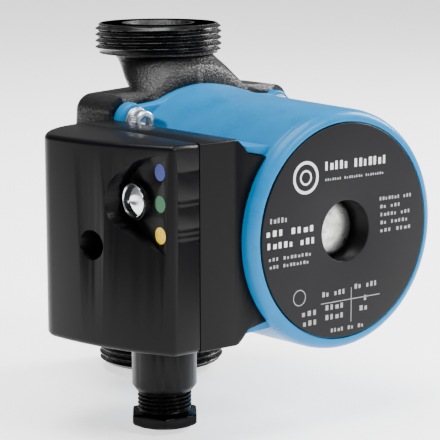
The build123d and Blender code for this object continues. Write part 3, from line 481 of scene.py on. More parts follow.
FINISHED_NODES: tuple[tuple[Finish, str], ...] = (
    (CAST_BLACK, "pump_housing"),
    (SKY_BLUE, "motor_housing"),
    (BOX_BLACK, "control_box_base control_box_lid"),
    (GLAND_BLACK, "gland_screw"),
    (PLATE_GREY, "nameplate"),
    (IMPELLER_BLACK, "impeller impeller_shroud"),
    (CREAM_PLASTIC, "winding_insulators motor_plug gland_washer"),
    (GREY_PLASTIC, "terminal_block"),
    (BLACK_PART, "capacitor choke power_module button_switch"),
    (CLEAR_PART, "status_leds"),
    (ZINC, "motor_screws screw_washers lid_screw terminal_screws box_screws"),
    (STAINLESS, "button_spring shaft rotor_sleeve rotor_can bearing_plate"),
    (NICKEL, "vent_screw wear_ring"),
    (CERAMIC, "front_bearing rear_bearing thrust_bearing"),
    (SEAL_RUBBER, "housing_gasket can_seal vent_seal gland_seal lid_gasket"),
    (LAMINATION, "stator_core rotor_core rotor_magnets"),
    (COPPER_WIRE, "stator_windings"),
    (BOARD_GREEN, "circuit_board"),
    (LAMP_BLUE, "light_guide_upper"),
    (LAMP_GREEN, "light_guide_middle"),
    (LAMP_YELLOW, "light_guide_lower"),
    (BUTTON_SILVER, "speed_button"),
)
NODE_FINISHES = {name: finish for finish, names in FINISHED_NODES for name in names.split()}


def dress_nodes() -> None:
    """Give every CAD node its finish."""
    for name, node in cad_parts.items():
        node.data.materials.clear()
        node.data.materials.append(NODE_FINISHES[name].build())
        LOG.info("dressed node %s", name)


# ------------------------------------------------------------------ surfaces from arrays


def grid_faces(rows: int, columns: int, wrap: bool = True) -> Array:
    """Quads over a grid of points numbered row by row."""
    across = columns if wrap else columns - 1
    row, column = np.meshgrid(np.arange(rows - 1), np.arange(across), indexing="ij")
    following = (column + 1) % columns
    corners = (row * columns + column, row * columns + following, (row + 1) * columns + following)
    return np.stack((*corners, (row + 1) * columns + column), axis=-1).reshape(-1, 4)


def rounded_profile(points: Sequence[tuple[float, ...]], steps: int = 5) -> Array:
    """Turn a polyline with (a, b, radius) corners into a smooth profile.

    Each rounded corner becomes a quadratic curve that leaves one side and joins the other, a
    radius away from the corner on both.

    Args:
        points: (a, b) or (a, b, radius) points.
        steps: Points on each rounded corner.

    Returns:
        The profile's points, one per row.
    """
    line: list[Array] = []
    flat = [np.array(point[:2], dtype=float) for point in points]
    for index, point in enumerate(points):
        if len(point) < 3 or index in (0, len(points) - 1):
            line.append(flat[index][None, :])
            continue
        before, after = flat[index - 1] - flat[index], flat[index + 1] - flat[index]
        start = flat[index] + before / np.linalg.norm(before) * point[2]
        end = flat[index] + after / np.linalg.norm(after) * point[2]
        t = np.linspace(0, 1, steps)[:, None]
        line.append((1 - t) ** 2 * start + 2 * t * (1 - t) * flat[index] + t**2 * end)
    return np.concatenate(line)


def soft_least(first: Reach, second: Reach, blend: float) -> Array:
    """The smaller of two arrays, with a smooth join about one blend wide.

    The formula is the mean of the two less half the root of their squared difference plus the
    squared blend.
    """
    return (first + second - np.sqrt((first - second) ** 2 + blend**2)) / 2


def soft_most(first: Reach, second: Reach, blend: float) -> Array:
    """The greater of two arrays, joined as in soft_least."""
    return -soft_least(-first, -second, blend)


def triangle(turns: Reach) -> Array:
    """A triangle wave, 1 at each whole turn and 0 half way between."""
    return np.abs(np.mod(turns, 1.0) - 0.5) * 2


def around(count: int) -> Array:
    """Equally spaced angles for one full turn."""
    return np.linspace(0, 2 * math.pi, count, endpoint=False)


def on_motor(depth: Reach, radius: Reach, angle: Array, centre: Centre = (0.0, 0.0)) -> Array:
    """Points about an axis that runs towards the front of the pump, in metres."""
    depth, radius, angle = np.broadcast_arrays(depth, radius, angle)
    x = centre[0] + radius * np.cos(angle)
    z = AXIS_Z + centre[1] + radius * np.sin(angle)
    return np.stack((x, -depth, z), axis=-1) * MM


def on_upright(height: Reach, radius: Reach, angle: Array, centre: Centre = (0.0, 0.0)) -> Array:
    """Points about an upright axis at (X, Y) centre, in metres; arguments as in on_motor."""
    height, radius, angle = np.broadcast_arrays(height, radius, angle)
    x = centre[0] + radius * np.cos(angle)
    y = centre[1] + radius * np.sin(angle)
    return np.stack((x, y, height), axis=-1) * MM


def swept(
    place: Callable[..., Array], rows: Sequence[tuple[Reach, Reach]], angle: Array, *centre: Any
) -> Array:
    """Stack one ring of points for each (distance, radius) row."""
    return np.concatenate([place(along, radius, angle, *centre) for along, radius in rows])


def hang(
    data: bpy.types.Mesh, name: str, body: str, finish: Finish, stands_for: Sequence[str]
) -> bpy.types.Object:
    """Make an object of a mesh, dress it, hang it on its body and hide the nodes that it stands for.

    Args:
        data: The mesh.
        name: The piece's name.
        body: The CAD body it rides on.
        finish: Its finish.
        stands_for: CAD nodes that it hides.

    Returns:
        The piece.
    """
    data.materials.clear()
    data.materials.append(finish.build())
    piece = bpy.data.objects.new(name, data)
    bpy.context.scene.collection.objects.link(piece)
    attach(piece, body)
    if stands_for:
        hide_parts(*stands_for)
    LOG.info("built %s on %s with %d faces", name, body, len(data.polygons))
    return piece


def welded(node: str, name: str, near: float, level: bool) -> bpy.types.Mesh:
    """Copy a node's mesh and merge its points.

    Args:
        node: The CAD node.
        name: The new mesh's name.
        near: Points closer than this are merged, in metres.
        level: True if nearly level faces are joined into one.

    Returns:
        The new mesh, shaded smooth.
    """
    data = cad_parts[node].data.copy()
    data.name = name
    work = bmesh.new()
    work.from_mesh(data)
    bmesh.ops.remove_doubles(work, verts=work.verts, dist=near)
    if level:
        bmesh.ops.dissolve_limit(
            work, angle_limit=math.radians(1.0), verts=work.verts, edges=work.edges, delimit={"NORMAL"}
        )
    work.to_mesh(data)
    work.free()
    data.shade_smooth()
    return data


@dataclass
class Piece:
    """A new visible piece, gathered from one or more grids.

    Attributes:
        name: Its name.
        body: The CAD body it rides on.
        slot: A material slot name; not used.
        finish: Its finish.
        stands_for: CAD nodes that it hides.
        crease: Edges sharper than this many degrees stay sharp.
    """

    name: str
    body: str
    slot: str
    finish: Finish
    stands_for: tuple[str, ...] = ()
    crease: float = 40.0
    points: list[Array] = field(default_factory=list)
    faces: list[Array] = field(default_factory=list)

    def grid(self, points: Array, wrap: bool = True) -> "Piece":
        """Add a grid of points."""
        return self.mesh(points.reshape(-1, 3), grid_faces(points.shape[0], points.shape[1], wrap))

    def mesh(self, points: Array, faces: Array) -> "Piece":
        """Add loose points and faces."""
        start = sum(len(block) for block in self.points)
        self.points.append(points)
        self.faces.append(faces + start)
        return self

    def finish_piece(self) -> bpy.types.Object:
        """Merge, close and turn the faces outwards, then dress the piece and hang it on its body."""
        data = bpy.data.meshes.new(self.name)
        faces = [face for block in self.faces for face in block.tolist()]
        data.from_pydata(np.concatenate(self.points).tolist(), [], faces)
        work = bmesh.new()
        work.from_mesh(data)
        bmesh.ops.remove_doubles(work, verts=work.verts, dist=2e-6)
        bmesh.ops.dissolve_degenerate(work, edges=work.edges, dist=1e-6)
        bmesh.ops.holes_fill(work, edges=[edge for edge in work.edges if edge.is_boundary], sides=0)
        bmesh.ops.recalc_face_normals(work, faces=work.faces)
        work.to_mesh(data)
        work.free()
        data.shade_smooth()
        data.set_sharp_from_angle(angle=math.radians(self.crease))
        return hang(data, self.name, self.body, self.finish, self.stands_for)


# ------------------------------------------------------------------ motor shell

AXIS_Z = 65.0


@dataclass
class MotorShell:
    """The blue motor shell with its square flange.

    Attributes:
        joint: Depth of the flange's back face, mm.
        flange: The flange's thickness.
        half: Half the flange's width at the lugs.
        rise: How far its sides rise towards their middles.
        lug: Radius of the flange's corners.
        lug_at: The screws' distance from the axis, along X and along Z.
        pocket: Radius of the hollow round each screw head.
        pocket_run: How far the hollow runs along the shell.
        dome: The shell's radius at the flange.
        body: Its radius further on.
        rim: Its radius at the face.
        face: Depth of the face.
        plate: Radius of the name disc's seat.
        hole: Radius of the vent hole.
        settled: Depth at which the dome has become the barrel.
        edge: Rounding of the flange's front edge.
        back_edge: Rounding of its back edge.
        turn_in: Length of the rim's curve along the shell; it draws in 1 mm less.
        turns: Points round each ring.
    """

    joint: float = 26.0
    flange: float = 5.0
    half: float = 39.5
    rise: float = 1.4
    lug: float = 6.5
    lug_at: float = 33.0
    pocket: float = 5.6
    pocket_run: float = 9.0
    dome: float = 43.9
    body: float = 42.6
    rim: float = 41.4
    face: float = 106.5
    plate: float = 37.4
    hole: float = 10.8
    settled: float = 46.0
    edge: float = 0.9
    back_edge: float = 0.5
    turn_in: float = 4.4
    turns: int = 720

    def side(self, angle: Array) -> Array:
        """Radius of the flange's outline: a square whose sides rise to a low ridge, with round
        corners, blended into the round dome by a soft maximum.
        """
        turn = np.mod(angle, math.pi / 2)
        folded = math.pi / 4 - np.abs(turn - math.pi / 4)
        across = np.tan(folded)
        slope = self.rise / (self.half * 0.53)
        straight = (self.half + self.rise - 0.6) * np.sqrt(1 + across**2) / (1 + slope * across)
        level = self.half / np.cos(folded)
        square = np.minimum(straight, np.where(folded > 0.45, level, straight))
        core = self.half - self.lug
        away = math.pi / 4 - folded
        corner = core * math.sqrt(2) * np.cos(away) + np.sqrt(
            np.maximum(self.lug**2 - (core * math.sqrt(2) * np.sin(away)) ** 2, 0.0)
        )
        reach = np.arctan2(core, self.half)
        square = np.where(folded > reach, corner, square)
        return soft_most(square, self.dome + 0.02, 0.9)

    def barrel(self, angle: Array, depth: float) -> Array:
        """Radius of the shell: a dome that eases into a slightly tapered barrel, cut by four round
        hollows whose ends are quarter spheres, with a soft minimum for the join.
        """
        ease = np.clip((depth - self.joint - self.flange) / 15.0, 0, 1)
        ease = ease * ease * (3 - 2 * ease)
        taper = (depth - self.settled) / (self.face - self.settled)
        easing = self.dome + (self.body - self.dome) * ease
        round_body = np.where(depth < self.settled, easing, self.body + (self.rim - self.body) * taper)
        away = np.mod(angle, math.pi / 2) - math.pi / 4
        far = self.lug_at * math.sqrt(2)
        beyond = np.maximum(depth - self.joint - self.flange - self.pocket_run, 0.0)
        width = np.sqrt(np.maximum(self.pocket**2 - beyond**2, 0.0))
        inside = width**2 - (far * np.sin(away)) ** 2
        wall = np.where(inside > 0, far * np.cos(away) - np.sqrt(np.maximum(inside, 0)), 60.0)
        return np.minimum(round_body, soft_least(wall, round_body + 0.12, 0.5))

    def build(self) -> None:
        """Sweep the outline forwards: back face, flange edge, flange front, barrel, rim, seat and hole."""
        angle = around(self.turns)[None, :]
        front = self.joint + self.flange
        outline = self.side(angle)
        wide = self.barrel(angle, front)
        back, inner = self.joint + 0.02, outline - self.edge
        rows = [(back, 37.0)]
        for step in np.linspace(0, math.pi / 2, 5):
            rise, draw = (self.back_edge * (1 - turn(step)) for turn in (math.cos, math.sin))
            rows.append((back + rise, outline - draw))
        for step in np.linspace(0, math.pi / 2, 7):
            draw, drop = (self.edge * (1 - turn(step)) for turn in (math.cos, math.sin))
            rows.append((front - drop, np.maximum(outline - draw, wide)))
        for share in (0.35, 0.7):
            rows.append((front, inner + share * (np.minimum(wide, inner) - inner)))
        near, far = np.linspace(front + 0.05, front + 18, 40), np.linspace(front + 19, self.face - 4.6, 30)
        for depth in np.concatenate((near, far)):
            rows.append((depth, self.barrel(angle, depth)))
        for step in np.linspace(0, math.pi / 2, 10):
            draw = (self.turn_in - 1) * (1 - math.cos(step))
            rows.append((self.face - self.turn_in + self.turn_in * math.sin(step), self.rim - draw))
        seat = rounded_profile(
            [
                (self.face, self.rim - 3.5),
                (self.face, self.plate, 0.25),
                (self.face - 1.05, self.plate),
                (self.face - 1.05, self.hole),
                (self.face - 12.0, self.hole),
                (self.face - 12.0, 14.5),
                (self.face - 9.5, 36.0),
                (back, 36.5),
            ],
            4,
        )
        rows += [*seat, rows[0]]
        shell = Piece("motor_shell", "pump_body", "blue_paint", SKY_BLUE, ("motor_housing",), 50.0)
        shell.grid(swept(on_motor, rows, angle))
        for side in (1, -1):
            self._pad(shell, side)
        shell.finish_piece()

    def _pad(self, shell: Piece, side: int) -> None:
        """One of the thin cast pads behind the control box."""
        outline = np.array([(-38.8, 29.85), (-31.2, 28.25), (-24, 26.35), (-26.3, 30.85), (-38.2, 31.55)])
        depths = np.array([43.0, 43.4, 99.6, 100.0])
        shrink = np.array([0.94, 1.0, 1.0, 0.94])
        middle = outline.mean(axis=0)
        loop = middle + (outline[None, :, :] - middle) * shrink[:, None, None]
        x, z = loop[..., 0], loop[..., 1] * side
        y = np.broadcast_to(-depths[:, None], x.shape)
        shell.grid(np.stack((x, y, z + AXIS_Z), axis=-1) * MM)


# ------------------------------------------------------------------ screws


@dataclass
class FlangeScrews:
    """Four knurled socket screws with a plain and a split washer under each head.

    Attributes:
        at: Distance from the motor axis along X and along Z, mm.
        seat: Depth of the flange's front face.
        head: Radius of the head.
        flats: Width of the socket across its flats.
        shank: Radius of the shank.
        ribs: Knurls round the head.
    """

    at: float = 33.0
    seat: float = 31.0
    head: float = 4.25
    flats: float = 4.0
    shank: float = 2.5
    ribs: int = 36
    turns: int = 216

    def _head(self, centre: Centre) -> Array:
        """One screw: the head's radius carries rectified sines for the knurl, and the socket's radius
        is that of a hexagon, the half width over the cosine of the angle from the nearest flat.
        """
        angle = around(self.turns)[None, :]
        knurl = 0.16 * np.abs(np.sin(angle * self.ribs / 2))
        nearest = np.mod(angle + 0.3, math.pi / 3) - math.pi / 6
        socket = self.flats / 2 / np.cos(nearest)
        base = self.seat + 1.75
        top = self.seat + 1.0 + 5.0
        rows = [(self.seat - 15.0, self.shank * 0.5), (self.seat - 14.6, self.shank), (base, self.shank)]
        rows += [(base, self.head - 0.4), (base + 0.35, self.head - knurl), (top - 0.9, self.head - knurl)]
        rows += [(top - 0.55, self.head - 0.12), (top - 0.2, self.head - 0.35)]
        rows += [(top - 0.03, self.head - 0.75), (top, self.head - 1.1)]
        rows += [(top - 0.02, socket + 0.28), (top - 0.25, socket), (top - 2.6, socket)]
        rows += [(top - 3.1, socket * 0.35), (top - 3.3, 0.0)]
        return swept(on_motor, rows, angle, centre)

    def _ring(
        self, centre: Centre, start: float, thick: float, outer: float, gap: float
    ) -> Array:
        """A washer whose edges are rounded; a split one climbs by half its thickness round the turn."""
        angle = np.linspace(gap, 2 * math.pi - gap, 97)[None, :]
        climb = (angle / (2 * math.pi) - 0.5) * (0.25 if gap else 0.0)
        profile = rounded_profile(
            [
                (0, self.shank + 0.6),
                (0, outer, 0.18),
                (thick, outer, 0.18),
                (thick, self.shank + 0.15, 0.1),
                (0, self.shank + 0.15, 0.1),
                (0, self.shank + 0.6),
            ],
            4,
        )
        rows = [(start + depth + climb, radius) for depth, radius in profile]
        return swept(on_motor, rows, angle, centre)

    def build(self) -> None:
        """Make the screws as one piece and the washers as another."""
        places = [(x * self.at, z * self.at) for x in (1, -1) for z in (1, -1)]
        screws = Piece("flange_screws", "pump_body", "zinc_plated", ZINC, ("motor_screws",), 35.0)
        washers = Piece("flange_washers", "pump_body", "zinc_plated", ZINC, ("screw_washers",), 35.0)
        for centre in places:
            screws.grid(self._head(centre))
            washers.grid(self._ring(centre, self.seat, 0.75, 5.0, 0.0), False)
            washers.grid(self._ring(centre, self.seat + 0.85, 0.75, 4.5, 0.05), False)
        screws.finish_piece()
        washers.finish_piece()


# ------------------------------------------------------------------ name disc


@dataclass(frozen=True)
class Ink(Finish):
    """Pale printed ink, thin and slightly worn."""

    def paint(self, graph: Graph) -> None:
        """Fine noise thins the ink in spots."""
        wear = graph.noise(0.0004, 4.0, 0.7)
        graph.set(
            Base_Color=graph.mix(wear.ramp(0.35, 0.7), self.shaded(0.7), self.shaded(1.1)),
            Roughness=wear.ramp(0.3, 0.7, self.roughness - 0.1, self.roughness + 0.1),
        )
        graph.bump(wear, 0.00001, 0.3)


PALE_INK = Ink("pale_ink", (0.62, 0.62, 0.63), 0.5)
THIN_INK = Ink("thin_ink", (0.24, 0.24, 0.25), 0.5)


@dataclass
class NameDisc:
    """The dark disc on the motor's face, with plain bars where a maker would print.

    Attributes:
        back: Depth of its back, mm.
        thick: Its thickness.
        radius: Its radius.
        hole: Radius of the hole in its middle.
        sleeve: How far its thin dark collar lines the vent hole, as painted shade over the blue wall of the
            hole.
    """

    back: float = 105.55
    thick: float = 1.2
    radius: float = 37.0
    hole: float = 10.8
    sleeve: float = 9.6

    def build(self) -> None:
        """Turn the disc's section, then lay the printed patches 0.02 mm above it."""
        face = self.back + self.thick
        # The rows at the start and end run a dark collar down the vent hole: painted shade on the hole's
        # wall.
        section = rounded_profile(
            [
                (self.back - self.sleeve, self.hole - 0.02),
                (self.back, self.hole - 0.02),
                (self.back, self.radius),
                (face, self.radius, 0.45),
                (face, self.hole - 0.25, 0.5),
                (self.back - self.sleeve, self.hole - 0.25),
                (self.back - self.sleeve, self.hole - 0.02),
            ],
            6,
        )
        angle = around(360)[None, :]
        disc = Piece("name_disc", "pump_body", "plate_grey", PLATE_GREY, ("nameplate",), 60.0)
        disc.grid(swept(on_motor, section, angle)).finish_piece()
        bold = Piece("print_bold", "pump_body", "plate_grey", PALE_INK)
        thin = Piece("print_thin", "pump_body", "plate_grey", THIN_INK)
        for x, z, length, tall, words in (
            (-9.5, 21.6, 28.5, 3.0, (5, 7)),
            (-35.0, 1.6, 21.5, 2.2, (3, 4)),
            (-34.6, -2.6, 21.5, 2.2, (5, 3)),
        ):
            self._line(bold, x, z, length, tall, words)
        for x, z, length, tall, words in (
            (-9.5, 18.0, 27.0, 0.9, (7, 8, 8)),
            (-33.5, 6.0, 8.0, 1.8, (5,)),
            (-34.0, -6.6, 19.0, 1.2, (3, 8)),
            (-33.6, -9.2, 17.5, 1.2, (3, 8)),
            (15.5, 8.8, 15.5, 1.3, (7, 3)),
            (15.8, 6.0, 10.0, 1.3, (2, 3)),
            (16.0, 3.2, 14.5, 1.3, (5, 3)),
            (16.0, 0.4, 13.5, 1.3, (2, 5)),
            (16.0, -2.4, 15.0, 1.3, (3, 4)),
            (-10.5, -21.8, 11.0, 1.8, (2, 3)),
            (4.2, -20.8, 11.0, 1.8, (2, 3)),
            (-9.0, -26.6, 9.0, 1.9, (4,)),
            (-9.0, -30.0, 9.0, 1.9, (4,)),
            (8.6, -25.4, 2.2, 1.9, (1,)),
            (6.6, -28.8, 4.6, 1.9, (2,)),
            (-19.5, -27.4, 7.5, 1.9, (3,)),
            (-19.0, -30.8, 7.0, 1.9, (3,)),
            (-6.5, -34.6, 15.5, 1.4, (4, 2, 2)),
        ):
            self._line(thin, x, z, length, tall, words)
        self._bar(thin, -11.0, -24.2, 27.0, 0.3)
        self._bar(thin, 2.6, -32.0, 0.3, 12.0)
        self._ring(bold, (-18.0, 20.0), 5.6, 4.5)
        self._ring(bold, (-18.0, 20.0), 2.6, 1.9)
        self._ring(thin, (-20.6, -20.6), 2.8, 2.45)
        bold.finish_piece()
        thin.finish_piece()

    def _line(
        self, piece: Piece, x: float, z: float, length: float, tall: float, words: tuple[int, ...]
    ) -> None:
        """One line of print as plain blocks, with a wider gap between words.

        Args:
            piece: The piece that takes the blocks.
            x: Left end, mm.
            z: Foot of the line about the motor axis, mm.
            length: The line's length.
            tall: The blocks' height.
            words: Blocks in each word.
        """
        marks = sum(words) + len(words) - 1
        step = length / marks
        place = 0
        for word in words:
            for mark in range(word):
                wide = step * (0.62, 0.5, 0.7, 0.56)[(mark + word) % 4]
                high = tall if (mark + word) % 3 else tall * 0.8
                self._bar(piece, x + (place + mark) * step, z, wide, high)
            place += word + 1

    def _bar(self, piece: Piece, x: float, z: float, wide: float, tall: float) -> None:
        """A thin rectangular patch of ink with chamfered edges.

        Args:
            piece: The piece that takes the patch.
            x: Left edge, mm.
            z: Lower edge about the motor axis, mm.
            wide: Width.
            tall: Height.
        """
        edge = min(wide, tall) * 0.12
        across = np.array([0, edge, wide - edge, wide]) + x
        up = np.array([0, edge, tall - edge, tall]) + z
        grid_x, grid_z = np.meshgrid(across, up)
        proud = np.zeros((4, 4))
        proud[1:3, 1:3] = 0.035
        foot = self.back + self.thick - 0.012
        points = np.stack((grid_x, -foot - proud, grid_z + AXIS_Z), axis=-1) * MM
        piece.grid(points, False)
        piece.grid(points * np.array([1, 0, 1]) + np.array([0, -foot * MM, 0]), False)

    def _ring(self, piece: Piece, centre: Centre, outer: float, inner: float) -> None:
        """A plain printed ring."""
        angle = around(96)[None, :]
        face = self.back + self.thick
        low, high = face - 0.012, face + 0.02
        rows = ((low, inner), (high, inner + 0.05), (high, outer - 0.05), (low, outer), (low, inner))
        piece.grid(swept(on_motor, rows, angle, centre))


# ------------------------------------------------------------------ vent cap


@dataclass
class VentCap:
    """The bright plug in the middle of the disc: a crowned cap on a helical thread.

    Attributes:
        face: Depth of its face, mm.
        seat: Depth of the underside of its head.
        radius: The head's radius.
        thread: Crest radius of its thread.
        pitch: The thread's pitch.
        tip: Depth of the thread's tip.
    """

    face: float = 99.5
    seat: float = 95.5
    radius: float = 9.8
    thread: float = 6.0
    pitch: float = 1.0
    tip: float = 86.6

    def build(self) -> None:
        """Head from a rounded profile; thread radius is a triangle wave of height over pitch less turn."""
        angle = around(144)[None, :]
        head = rounded_profile(
            [
                (self.face + 0.0, 0.0),
                (self.face - 0.1, self.radius * 0.55, 1.5),
                (self.face - 0.5, self.radius, 1.8),
                (self.seat, self.radius, 0.3),
                (self.seat, self.thread - 0.5),
            ],
            8,
        )
        rows = list(head)
        for depth in np.linspace(self.seat - 2.8, self.tip + 0.4, 56):
            wave = triangle(depth / self.pitch - angle / (2 * math.pi))
            rows.append((depth, self.thread - 0.5 + 0.48 * wave))
        rows += [(self.tip, self.thread - 1.0), (self.tip, 0.0)]
        cap = Piece("vent_cap", "vent_plug", "nickel_silver", NICKEL, ("vent_screw",), 50.0)
        cap.grid(swept(on_motor, rows, angle)).finish_piece()


# ------------------------------------------------------------------ cable gland


@dataclass
class GlandNut:
    """The gland screw: a helical thread above a hexagon with rounded corners.

    Attributes:
        x: X of its axis, mm.
        y: Y of its axis.
        mouth: Height of the boss's mouth.
        crest: The thread's crest radius.
        root: Its root radius.
        pitch: Its pitch, mm a turn.
        bore: Radius of the hole.
        flats: Width across the hexagon's flats.
        tall: The hexagon's height.
        standout: Thread seen below the mouth.
        engaged: Thread inside the boss.
        turned: Where one corner points, in degrees from +X.
    """

    x: float = -51.2
    y: float = -71.5
    mouth: float = 11.1
    crest: float = 9.3
    root: float = 8.45
    pitch: float = 1.41
    bore: float = 5.7
    flats: float = 22.0
    tall: float = 4.1
    standout: float = 7.9
    engaged: float = 6.0
    turned: float = 53.6

    def build(self) -> None:
        """Sweep one outline from the hole's foot, over the hexagon and up the thread.

        The hexagon's radius is its half width over the cosine of the angle from the nearest flat,
        softly limited at the corners; the thread's is a rounded triangle wave of height over pitch
        less turn, which makes it a helix.
        """
        angle = around(288)[None, :]
        flat = np.mod(angle - math.radians(self.turned), math.pi / 3) - math.pi / 6
        hexagon = soft_least(self.flats / 2 / np.cos(flat), 12.55, 0.25)
        top = self.mouth - self.standout
        low = top - self.tall
        high = self.mouth + self.engaged
        lower_edge = soft_least(hexagon, self.flats / 2 + 0.15, 0.1)
        rows = [(low + 1.2, self.bore), (low + 0.05, self.bore + 1.2), (low, self.bore + 1.6)]
        rows += [(low, lower_edge - 0.8), (low + 0.12, lower_edge - 0.25)]
        rows += [(low + 0.5, hexagon - (hexagon - lower_edge) * 0.5 - 0.03), (low + 1.2, hexagon)]
        rows += [(top - 0.45, hexagon), (top - 0.12, hexagon - 0.12), (top, hexagon - 0.45)]
        rows += [(top, self.root + 0.5), (top + 0.3, self.root)]
        for height in np.linspace(top + 0.5, high - 0.6, 120):
            wave = triangle(height / self.pitch - angle / (2 * math.pi))
            run_out = min(1.0, (height - top - 0.5) / 0.9, (high - 0.6 - height) / 0.9 + 0.05)
            wave = np.clip(wave * 1.35 - 0.18, 0, 1)
            rows.append((height, self.root + (self.crest - 0.02 - self.root) * wave * run_out))
        rows += [(high, self.root - 0.3), (high, self.bore + 0.3), (high - 0.3, self.bore), rows[0]]
        nut = Piece("gland_nut_piece", "gland_nut", "gland_plastic", GLAND_BLACK, ("gland_screw",), 50.0)
        nut.grid(swept(on_upright, rows, angle, (self.x, self.y))).finish_piece()


# ------------------------------------------------------------------ cast body


@dataclass
class CastBody:
    """The cast body with helical threads cut on both ports.

    Attributes:
        length: Distance between the port faces, mm.
        crest: The threads' crest radius.
        deep: Depth of the thread.
        pitch: Its pitch, mm a turn.
        run: Threaded length from each port face.
        bore: Radius of the waterway.
    """

    length: float = 130.0
    crest: float = 23.9
    deep: float = 1.479
    pitch: float = 25.4 / 11
    run: float = 10.5
    bore: float = 12.5

    def build(self) -> None:
        """Merge a copy of the casting, draw its thread rings in under the root, and add the threads."""
        data = welded("pump_housing", "cast_body", 1e-6, False)
        points = np.empty(len(data.vertices) * 3, dtype=np.float32)
        data.vertices.foreach_get("co", points)
        points = points.reshape(-1, 3)
        across = np.hypot(points[:, 0], points[:, 1])
        root = (self.crest - self.deep - 0.2) * MM
        end = np.minimum(points[:, 2], self.length * MM - points[:, 2])
        inside = (across > root) & (end < (self.run + 0.2) * MM)
        factor = np.where(inside, root / np.maximum(across, 1e-6), 1.0)
        points[:, :2] *= factor[:, None]
        data.vertices.foreach_set("co", points.reshape(-1))
        data.update()
        data.set_sharp_from_angle(angle=math.radians(40))
        hang(data, "cast_body", "pump_body", CAST_BLACK, ("pump_housing",))
        for name, face, way in (("outlet_thread", self.length, -1.0), ("inlet_thread", 0.0, 1.0)):
            self._thread(name, face, way)

    def _thread(self, name: str, face: float, way: float) -> None:
        """One threaded collar: the radius is a triangle wave of height over pitch less turn, with
        flattened crests, fading out at the chamfer and at the foot.

        Args:
            name: The piece's name.
            face: Height of the port face, mm.
            way: 1 if the thread runs up from the face, -1 if down.
        """
        angle = around(360)[None, :]
        root = self.crest - self.deep
        rows = [(0.06, self.bore + 0.9), (0.0, self.bore + 1.3)]
        rows += [(0.0, self.crest - 2.3), (0.06, self.crest - 1.9)]
        for along in np.linspace(0.25, self.run - 0.1, 86):
            turn = angle / (2 * math.pi) * way
            wave = triangle((face + way * along) / self.pitch - turn * way)
            wave = np.clip(wave * 1.22 - 0.1, 0, 1)
            limit = self.crest - 1.75 + 1.35 * along
            radius = np.minimum(root + self.deep * wave, limit)
            fade = np.clip((self.run - 0.1 - along) / 0.5, 0, 1)
            rows.append((along, root - 0.15 + (radius - root + 0.15) * fade))
        rows += [(self.run, root - 0.5), (self.run - 0.6, root - 1.2), rows[0]]
        collar = swept(on_upright, [(face + way * along, radius) for along, radius in rows], angle)
        Piece(name, "pump_body", "cast_iron_black", COLLAR_BLACK, (), 50.0).grid(collar).finish_piece()


# ------------------------------------------------------------------ speed button


@dataclass
class SpeedButton:
    """The bright push button: three shallow lobes on a crowned cap, a rim ring and its stem.

    Attributes:
        at: Depth of its axis, mm.
        height: Its height about the motor axis.
        radius: The cap's radius.
        rim: Offset of the cap's rim from the pipe axis.
        rise: How far the crown rises above the rim.
        flange: Offset of the flange's outer face.
        tip: Offset of the stem's tip.
    """

    at: float = 85.4
    height: float = 15.4
    radius: float = 5.75
    rim: float = 73.4
    rise: float = 1.7
    flange: float = 68.7
    tip: float = 61.2

    def build(self) -> None:
        """The crown's height is one less the squared share of the radius, with three lobes from a
        cosine of three times the angle that fade at the middle and the edge.
        """
        angle = around(144)[None, :]
        ones = np.ones_like(angle)
        rows = []
        for share in np.linspace(0.0, 0.9, 22):
            lobes = 0.45 * np.cos(3 * angle + 0.5) * share**1.2 * (1 - share) * 2.2
            rows.append((self.rim + self.rise * (1 - share**2) + lobes - 0.15, share * self.radius * ones))
        edge = self.rim + self.rise * (1 - 0.9**2) - 0.15
        for turn in np.linspace(0.0, math.pi * 0.9, 9):
            ring = (0.9 + 0.05 * (1 - math.cos(turn))) * self.radius
            rows.append((edge - 0.15 + 0.42 * math.sin(turn), ring * ones))
        skirt, collar, stem, under = 5.72, 6.95, 2.0, self.flange - 1.2
        section = ((self.rim - 0.3, skirt), (self.flange, skirt), (self.flange, collar), (under, collar))
        section += ((under, stem), (self.tip + 0.3, stem), (self.tip, 1.7), (self.tip, 0.0))
        rows += [(offset * ones, radius * ones) for offset, radius in section]
        points = []
        for offset, radius in rows:
            x = -(offset * ones)
            y = -(self.at - radius * np.cos(angle))
            z = AXIS_Z + self.height + radius * np.sin(angle)
            points.append(np.stack((x, y, z), axis=-1))
        cap = Piece("button_cap", "button", "button_silver", BUTTON_SILVER, ("speed_button",), 45.0)
        cap.grid(np.concatenate(points) * MM).finish_piece()


# ------------------------------------------------------------------ control box


@dataclass
class ControlBox:
    """Softened copies of the box's base and lid.

    Attributes:
        edge: Width of the softened edges, mm.
    """

    edge: float = 0.28

    def build(self) -> None:
        """Weld a copy of each node and bevel its sharp edges."""
        self._soften("control_box_lid", "lid_piece", "lid")
        self._soften("control_box_base", "box_piece", "pump_body")

    def _soften(self, node: str, name: str, body: str) -> None:
        """Copy a node, merge its points and give it a narrow bevel.

        Args:
            node: The CAD node.
            name: The new piece's name.
            body: The body it rides on.
        """
        data = welded(node, name, 2e-6, True)
        piece = hang(data, name, body, BOX_BLACK, (node,))
        bevel = piece.modifiers.new("soft_edges", "BEVEL")
        bevel.width = self.edge * MM
        bevel.segments = 2
        bevel.limit_method = "ANGLE"
        bevel.angle_limit = math.radians(35)
        bevel.harden_normals = True


# ------------------------------------------------------------------ studio


